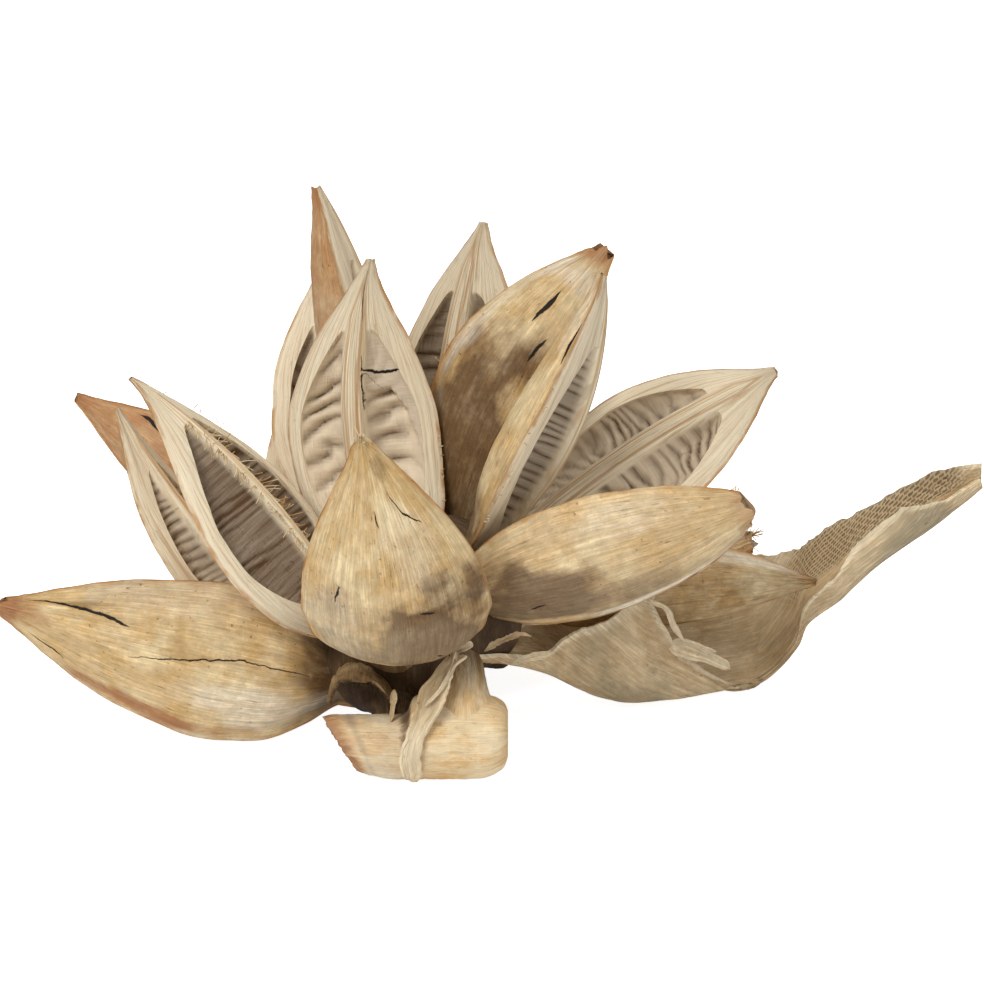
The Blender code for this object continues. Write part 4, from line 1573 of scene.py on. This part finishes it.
    def knob(self, material: bpy.types.Material) -> bpy.types.Object:
        """Builds the knob inside the cluster.

        Args:
            material: The stalk's material.

        Returns:
            The object.
        """
        polar = (pi * (1 - (np.arange(70) + 0.5) / 70))[:, None]
        turn = (2 * pi * np.arange(110) / 110)[None, :]
        facing = np.stack([np.sin(polar) * np.cos(turn), np.sin(polar) * np.sin(turn),
                           np.cos(polar) + 0 * turn], 2)
        centre = np.asarray(self.knob_centre)
        total, reach = 1e-3, 1e-3 * self.UNDERSIDE
        for valve in VALVES:
            offset = np.subtract(valve.base, centre)
            distance = float(np.linalg.norm(offset))
            weight = np.exp(self.SMOOTHING * (facing @ offset / distance - 1))
            total, reach = total + weight, reach + weight * (distance + self.COVER)
        weight = np.exp(self.SMOOTHING * (-facing[..., 2] - 1))
        radius = (reach + weight * self.UNDERSIDE) / (total + weight)
        radius += 0.9 * cloud(facing[..., 0] * 5 + facing[..., 2] * 3, facing[..., 1] * 5, 211, 4)
        made = SurfaceMesh(centre + facing * radius[..., None])
        made.grain[..., 0] = polar * 25 + 1100
        made.grain[..., 1] = np.arange(111)[None, :] * 1.2
        # The knob is painted full brown: partly its own dark tissue, partly painted shade between the valves.
        made.paint({BROWN: 1.0})
        return made.build("stalk_knob_visual", material)


@dataclass(frozen=True)
class Strip:
    """A narrow torn strip of dry tissue.

    Attributes:
        name: What it is.
        line: From one end to the other: a position in millimetres and half the width there.
        node: The CAD node it belongs to.
        pale: How bleached it is.
        wall: Half its thickness.
        rough: How uneven its edges are.
    """

    name: str
    line: tuple[tuple[float, float, float, float], ...]
    node: str = "bract"
    pale: float = 0.8
    wall: float = 0.28
    rough: float = 0.15
    ROWS = 40
    CELLS = 9
    # Degrees above the horizon that its broad side faces.
    FACES_UP = 35

    def build(self, material: bpy.types.Material) -> bpy.types.Object:
        """Builds the strip.

        Args:
            material: The dry bract's material.

        Returns:
            The object.
        """
        x, y, z, half = catmull(np.asarray(self.line, float), np.linspace(0, len(self.line) - 1, self.ROWS)).T
        middle = np.stack([x, y, z], axis=1)
        along = unit(np.gradient(middle, axis=0))
        up = radians(self.FACES_UP)
        view = np.array([0.0, -cos(up), sin(up)])
        across = unit(np.cross(along, view))
        facing = np.cross(across, along)
        seed = sum(map(ord, self.name))
        way = np.linspace(0, 1, self.ROWS)
        half = half * (1 + self.rough * cloud(way * 14, way * 0, seed, 3))
        half = half * np.minimum(1, 0.35 + 5 * np.minimum(way, 1 - way))
        place = np.linspace(-1, 1, self.CELLS)[None, :]
        curl = 0.35 * half[:, None] * place ** 2 + self.rough * cloud(way[:, None] * 6, place, seed + 1, 2)
        sheet = middle[:, None] + across[:, None] * (half[:, None] * place)[..., None]
        sheet = sheet + facing[:, None] * curl[..., None]
        front, back = sheet + facing[:, None] * self.wall, sheet - facing[:, None] * self.wall
        made = SurfaceMesh(np.concatenate([front, back[:, ::-1]], axis=1)[:, ::-1])
        made.grain[..., 0] = way[:, None] * 30 + seed
        made.grain[..., 1] = np.linspace(0, 6, made.grain.shape[1])[None, :]
        made.paint({PALE: self.pale})
        return made.build(f"{self.name.replace(' ', '_')}_visual", material)


STRIPS = (
    Strip("peak flap", ((64.6, 27.5, 43.0, 1.4), (65.7, 27.0, 44.5, 2.0), (67.1, 26.5, 45.6, 2.0),
                        (68.5, 26.0, 46.2, 0.9))),
    Strip("edge splinter", ((65.8, 28.0, 42.2, 0.6), (68.1, 28.0, 40.9, 0.6), (70.4, 28.5, 39.7, 0.6),
                            (72.0, 29.5, 37.1, 0.9), (73.3, 31.0, 32.9, 0.9), (75.2, 32.5, 29.4, 0.7),
                            (76.8, 34.0, 26.2, 0.3))),
    Strip("wide strip", ((72.2, 34.0, 25.2, 2.3), (74.3, 34.5, 24.3, 2.6), (78.1, 35.5, 22.9, 2.6),
                         (82.3, 37.0, 20.6, 2.1), (86.3, 39.0, 17.8, 1.7), (89.2, 41.0, 15.5, 1.4),
                         (90.8, 43.0, 13.6, 0.7))),
    Strip("thin splinter", ((76.2, 34.0, 26.8, 0.6), (79.2, 34.5, 25.6, 0.6), (82.4, 35.0, 24.1, 0.5),
                            (86.3, 35.5, 22.3, 0.3))),
    Strip("root shred", ((26.8, 10.0, 30.4, 0.5), (29.6, 12.0, 30.7, 0.9), (32.7, 14.0, 30.7, 1.1),
                         (36.2, 17.0, 29.9, 0.9), (38.2, 19.0, 29.6, 0.4))),
    Strip("flap one", ((9.7, 1.0, 38.0, 1.0), (11.9, 0.0, 39.4, 1.1), (14.1, -1.0, 41.1, 1.1),
                       (15.8, -1.0, 41.7, 1.0)), "sheath"),
    Strip("torn shred", ((19.0, 6.0, 36.2, 0.5), (21.9, 7.0, 38.0, 0.8), (23.9, 8.0, 38.5, 0.6),
                         (26.3, 9.5, 38.9, 0.9), (29.5, 10.5, 39.5, 0.6), (32.2, 11.5, 38.2, 0.3)),
          pale=0.1, rough=0.25),
    Strip("hanging post", ((-6.3, 0.0, 27.0, 0.9), (-6.4, 0.0, 24.6, 0.9), (-6.7, 0.0, 22.1, 0.7),
                           (-7.0, 0.0, 19.6, 0.7), (-7.3, 0.0, 17.4, 0.3)), "bract_stub", 0.2, 0.5),
    Strip("sheath edge", ((11.1, -1.5, 39.5, 0.7), (10.8, -2.5, 37.5, 0.7), (10.0, -4.0, 35.1, 0.7),
                          (8.6, -6.0, 33.3, 0.6), (6.7, -7.5, 30.6, 0.6), (4.5, -9.0, 28.6, 0.5),
                          (2.5, -10.0, 26.9, 0.3)), "sheath"),
)


@dataclass(frozen=True)
class Fringe:
    """Loose fibres that stand out of a torn edge of a valve.

    Attributes:
        valve: The valve's CAD node.
        place: Where across the open side they start, in half widths from the ridge.
        start: Share of the length where they begin.
        end: Share of the length where they end.
        count: How many there are.
        reach: Their usual length in millimetres.
        way: How far they lean across, along and out of the open side.
    """

    valve: str
    place: float
    start: float
    end: float
    count: int
    reach: float
    way: Point

    def lines(self, seed: int) -> list[np.ndarray]:
        """Works out the fibres.

        Args:
            seed: Which random pattern.

        Returns:
            Points of each fibre, in millimetres.
        """
        random = np.random.default_rng(seed)
        valve = next(item for item in VALVES if item.name == self.valve)
        along, across, opens = valve.axes()
        found = []
        for share in random.uniform(self.start, self.end, self.count):
            root = valve.ridge_point(float(share), self.place)
            lean = np.asarray(self.way, float) + random.normal(0, 0.35, 3)
            way = unit(across * lean[0] + along * lean[1] + opens * lean[2])
            bend = random.normal(0, 0.3, 3)
            step = np.linspace(0, 1, 7)[:, None]
            size = self.reach * random.uniform(0.3, 1.2)
            found.append(root + size * (way * (step - 0.08) + bend * step ** 2))
        return found


FRINGES = (
    Fringe("valve_left_front", 0.07, 0.2, 0.78, 70, 4.0, (0.8, -0.5, 0.1)),
    Fringe("valve_left_front", -0.07, 0.2, 0.8, 60, 3.5, (-0.8, -0.5, 0.1)),
    Fringe("valve_left_front", 0.98, 0.5, 0.9, 5, 1.2, (0.5, 0.3, 0.6)),
    Fringe("valve_right_narrow", 0.99, 0.5, 0.85, 14, 3.0, (0.7, 0.3, 0.4)),
    Fringe("valve_right_narrow", -0.99, 0.15, 0.7, 14, 1.6, (-0.6, 0.3, 0.6)),
    Fringe("valve_right_tall", 0.98, 0.3, 0.6, 14, 2.2, (0.7, 0.5, 0.2)),
    Fringe("valve_front", 0.3, 0.97, 1.0, 22, 2.6, (0.3, 0.9, -0.1)),
    Fringe("valve_right_back", 0.2, 0.96, 1.0, 40, 5.0, (0.1, 1.0, 0.1)),
    Fringe("valve_centre", 0.97, 0.2, 0.5, 10, 1.5, (0.6, 0.2, 0.5)),
    Fringe("valve_right_front", 0.9, 0.96, 1.0, 7, 2.0, (0.3, 0.8, 0.2)),
)


# The seed of the first fringe, and the radius of a loose fibre at its root, in millimetres.
FIRST_FRINGE_SEED = 300
FIBRE_RADIUS = 0.13


class StrandMaker(NodeBuilder):
    """Sweeps thin fibres along polylines with Geometry Nodes.

    Attributes:
        radius: Identifier of the input Radius.
        finish: Identifier of the input Material.
    """

    def __init__(self) -> None:
        """Makes the node tree with its inputs Radius and Material."""
        super().__init__(bpy.data.node_groups.new("strands", "GeometryNodeTree"))
        sockets = self.tree.interface
        kinds = (("Geometry", "INPUT", "Geometry"), ("Radius", "INPUT", "Float"),
                 ("Material", "INPUT", "Material"), ("Geometry", "OUTPUT", "Geometry"))
        made = [sockets.new_socket(name, in_out=way, socket_type=f"NodeSocket{kind}").identifier
                for name, way, kind in kinds]
        self.radius, self.finish = made[1:3]
        given = self.add("NodeGroupInput").outputs
        curve = self.add("GeometryNodeMeshToCurve", {0: given[0]})
        place = self.add("GeometryNodeSplineParameter").outputs["Factor"]
        thin = self.add("ShaderNodeMath", {0: place, 1: -0.7, 2: 1.0}, operation="MULTIPLY_ADD")
        shaped = self.add("GeometryNodeSetCurveRadius", {"Curve": curve.outputs[0],
                                                         "Radius": thin.outputs[0]})
        ring = self.add("GeometryNodeCurvePrimitiveCircle", {"Resolution": 5, "Radius": given["Radius"]})
        swept = self.add("GeometryNodeCurveToMesh", {"Curve": shaped.outputs[0], "Fill Caps": True,
                                                     "Profile Curve": ring.outputs[0]})
        real = self.add("GeometryNodeRealizeInstances", {0: swept.outputs[0]})
        dressed = self.add("GeometryNodeSetMaterial", {"Geometry": real.outputs[0],
                                                       "Material": given["Material"]})
        self.add("NodeGroupOutput", {0: dressed.outputs[0]})

    def build(self, name: str, lines: list[np.ndarray], radius: float,
              material: bpy.types.Material) -> bpy.types.Object:
        """Makes one object of many fibres.

        Args:
            name: Its name.
            lines: Points of each fibre, in millimetres.
            radius: Radius at the root, in millimetres.
            material: Its material.

        Returns:
            The object.
        """
        points = np.concatenate(lines) * MM
        edges, first = [], 0
        for line in lines:
            edges += [(first + k, first + k + 1) for k in range(len(line) - 1)]
            first += len(line)
        mesh = bpy.data.meshes.new(name)
        mesh.from_pydata(points.tolist(), edges, [])
        made = bpy.data.objects.new(name, mesh)
        bpy.context.scene.collection.objects.link(made)
        modifier = made.modifiers.new("strands", "NODES")
        modifier.node_group = self.tree
        modifier[self.radius] = radius * MM
        modifier[self.finish] = material
        bpy.context.view_layer.update()
        swept = bpy.data.meshes.new_from_object(made.evaluated_get(bpy.context.evaluated_depsgraph_get()))
        made.modifiers.remove(modifier)
        made.data = swept
        return made


def fibre_material() -> bpy.types.Material:
    """Makes the pale golden material of the loose fibres.

    Returns:
        The material.
    """
    # Loose dry fibres: thin, pale and golden, so they light up along a dark edge. Their colour changes
    # about every 4.5 mm, as 220 noise cells a metre give.
    graph = Graph("loose dried fibres")
    place = graph.add("ShaderNodeNewGeometry").outputs["Position"]
    noise = graph.add("ShaderNodeTexNoise", {"Vector": place, "Scale": 220.0}).outputs["Fac"]
    colour = graph.mix(graph.step(noise, 0.4, 0.6), linear("B98F52"), linear("E2CBA0"))
    return graph.finished({"Base Color": colour, "Roughness": 0.6})


@dataclass(frozen=True)
class Studio:
    """Camera, lights, floor and white surroundings.

    Attributes:
        target: Point in the middle of the picture, in millimetres.
        elevation: Camera's height above the horizon, in degrees.
        distance: Camera's distance from the target, in millimetres.
        width: How much of the target's plane the picture spans, in millimetres.
    """

    target: Point = (21.1, 35.0, 72.7)
    elevation: float = 22.0
    distance: float = 900.0
    width: float = 280.3
    # Name, place in metres, side in metres and power in watts of each light.
    LIGHTS = (("key", (-0.45, -0.75, 0.95), 0.5, 8.8), ("fill", (0.9, -0.7, 0.6), 0.9, 1.6),
              ("top", (0.1, 0.3, 1.2), 0.8, 3.6))
    # Width of the camera's film in millimetres, and the nearest and farthest that it sees, in metres.
    FILM = 36
    CLIP = (0.05, 20)
    # Brightness of the white surroundings, and of the floor as the camera sees it.
    SURROUNDINGS = 0.35
    PAPER_GLOW = 0.88
    # Half the floor's side, in metres.
    FLOOR_HALF = 6

    def build(self) -> None:
        """Makes everything in the studio."""
        scene = bpy.context.scene
        aim = Vector(self.target) * MM
        back = Vector((0, -cos(radians(self.elevation)), sin(radians(self.elevation))))
        camera = bpy.data.objects.new("camera", bpy.data.cameras.new("camera"))
        camera.data.sensor_width = self.FILM
        camera.data.lens = self.FILM * self.distance / self.width
        camera.data.clip_start, camera.data.clip_end = self.CLIP
        camera.location = aim + back * (self.distance * MM)
        camera.rotation_euler = (-back).to_track_quat("-Z", "Y").to_euler()
        scene.collection.objects.link(camera)
        scene.camera = camera
        for light in self.LIGHTS:
            self.light(*light)
        world = bpy.data.worlds.new("white surroundings")
        world.use_nodes = True
        world.node_tree.nodes["Background"].inputs[0].default_value = (1, 1, 1, 1)
        world.node_tree.nodes["Background"].inputs[1].default_value = self.SURROUNDINGS
        scene.world = world
        scene.view_settings.view_transform = "Standard"
        scene.view_settings.look = "None"
        self.floor()

    def light(self, name: str, place: Point, size: float, power: float) -> None:
        """Adds a soft square light that faces the object.

        Args:
            name: Its name.
            place: Where it is, in metres.
            size: Its side, in metres.
            power: Its power, in watts.
        """
        lamp = bpy.data.objects.new(name, bpy.data.lights.new(name, "AREA"))
        lamp.data.size = size
        lamp.data.energy = power
        lamp.location = place
        lamp.rotation_euler = (Vector(self.target) * MM - lamp.location).to_track_quat("-Z", "Y").to_euler()
        bpy.context.scene.collection.objects.link(lamp)

    def floor(self) -> None:
        """Adds the plain white floor just under the object."""
        # Matt white paper, lit from itself so that it stays plain white as in a cut-out picture.
        graph = Graph("matt white paper")
        seen = graph.add("ShaderNodeLightPath").outputs["Is Camera Ray"]
        half = self.FLOOR_HALF
        mesh = bpy.data.meshes.new("floor")
        mesh.from_pydata([(-half, -half, 0), (half, -half, 0), (half, half, 0), (-half, half, 0)], [],
                         [(0, 1, 2, 3)])
        mesh.materials.append(graph.finished({
            "Base Color": (0.95, 0.95, 0.95, 1), "Roughness": 0.9, "Emission Color": (1, 1, 1, 1),
            "Emission Strength": graph.maths("MULTIPLY", seen, self.PAPER_GLOW)}))
        floor = bpy.data.objects.new("floor", mesh)
        bpy.context.scene.collection.objects.link(floor)


def report(piece: bpy.types.Object) -> None:
    """Writes a finished piece's name and number of faces to the log."""
    LOG.info("%s: %d faces", piece.name, len(piece.data.polygons))


def main() -> None:
    """Builds every piece in order."""
    logging.basicConfig(level=logging.INFO, format="%(name)s: %(message)s")
    # Woody capsule wall, split open and sun-bleached: dry, matt and fibrous, cream with golden and grey
    # streaks, dark wrinkled pockets and a paler rim where it split.
    wall = PlantFinish("sun-bleached woody capsule", "CDAF80", "DDC79C", "C19A5C").build()
    for valve in VALVES:
        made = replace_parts(valve.build(wall), valve.name)
        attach(made, "root")
        report(made)
    # Dried leaf-like bract: thinner and smoother than the capsules, duller, with grey mould and pale edges.
    leaf = PlantFinish("dried leafy bract", "C2AA84", "D3BC96", "B4956A", brown="6E5234", grey="857B62",
                       pale="E6D5B4", relief=0.16).build()
    # Dried flower stalk, cut across: the palest part, with a smooth skin and a red-brown, fibrous end.
    pith = PlantFinish("dried cut flower stalk", "EBCE9E", "F2DFBA", "DDB070", brown="664A2E",
                       streaks=0.55).build()
    # Torn inner tissue between stalk and capsules: dark brown and rough; its darkness is partly its own and
    # partly painted shade of the deep hollows.
    torn = PlantFinish("torn tissue and painted shade", "957953", "AE9269", "84643C", brown="3A2817", relief=0.5).build()
    for made in (Bract().build(leaf), Sheath().build(leaf), Stub().build(torn)):
        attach(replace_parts(made, made.name.removesuffix("_visual")), "root")
        report(made)
    for made in Stalk().build(pith, torn):
        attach(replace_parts(made, "stalk"), "root")
        report(made)
    for strip in STRIPS:
        made = strip.build(leaf)
        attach(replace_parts(made, strip.node), "root")
        report(made)
    maker, fibre = StrandMaker(), fibre_material()
    for number, fringe in enumerate(FRINGES):
        made = maker.build(f"{fringe.valve}_fibres_{number}", fringe.lines(FIRST_FRINGE_SEED + number),
                           FIBRE_RADIUS, fibre)
        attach(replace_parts(made, fringe.valve), "root")
        report(made)
    Studio().build()


if __name__ == "__main__":
    main()
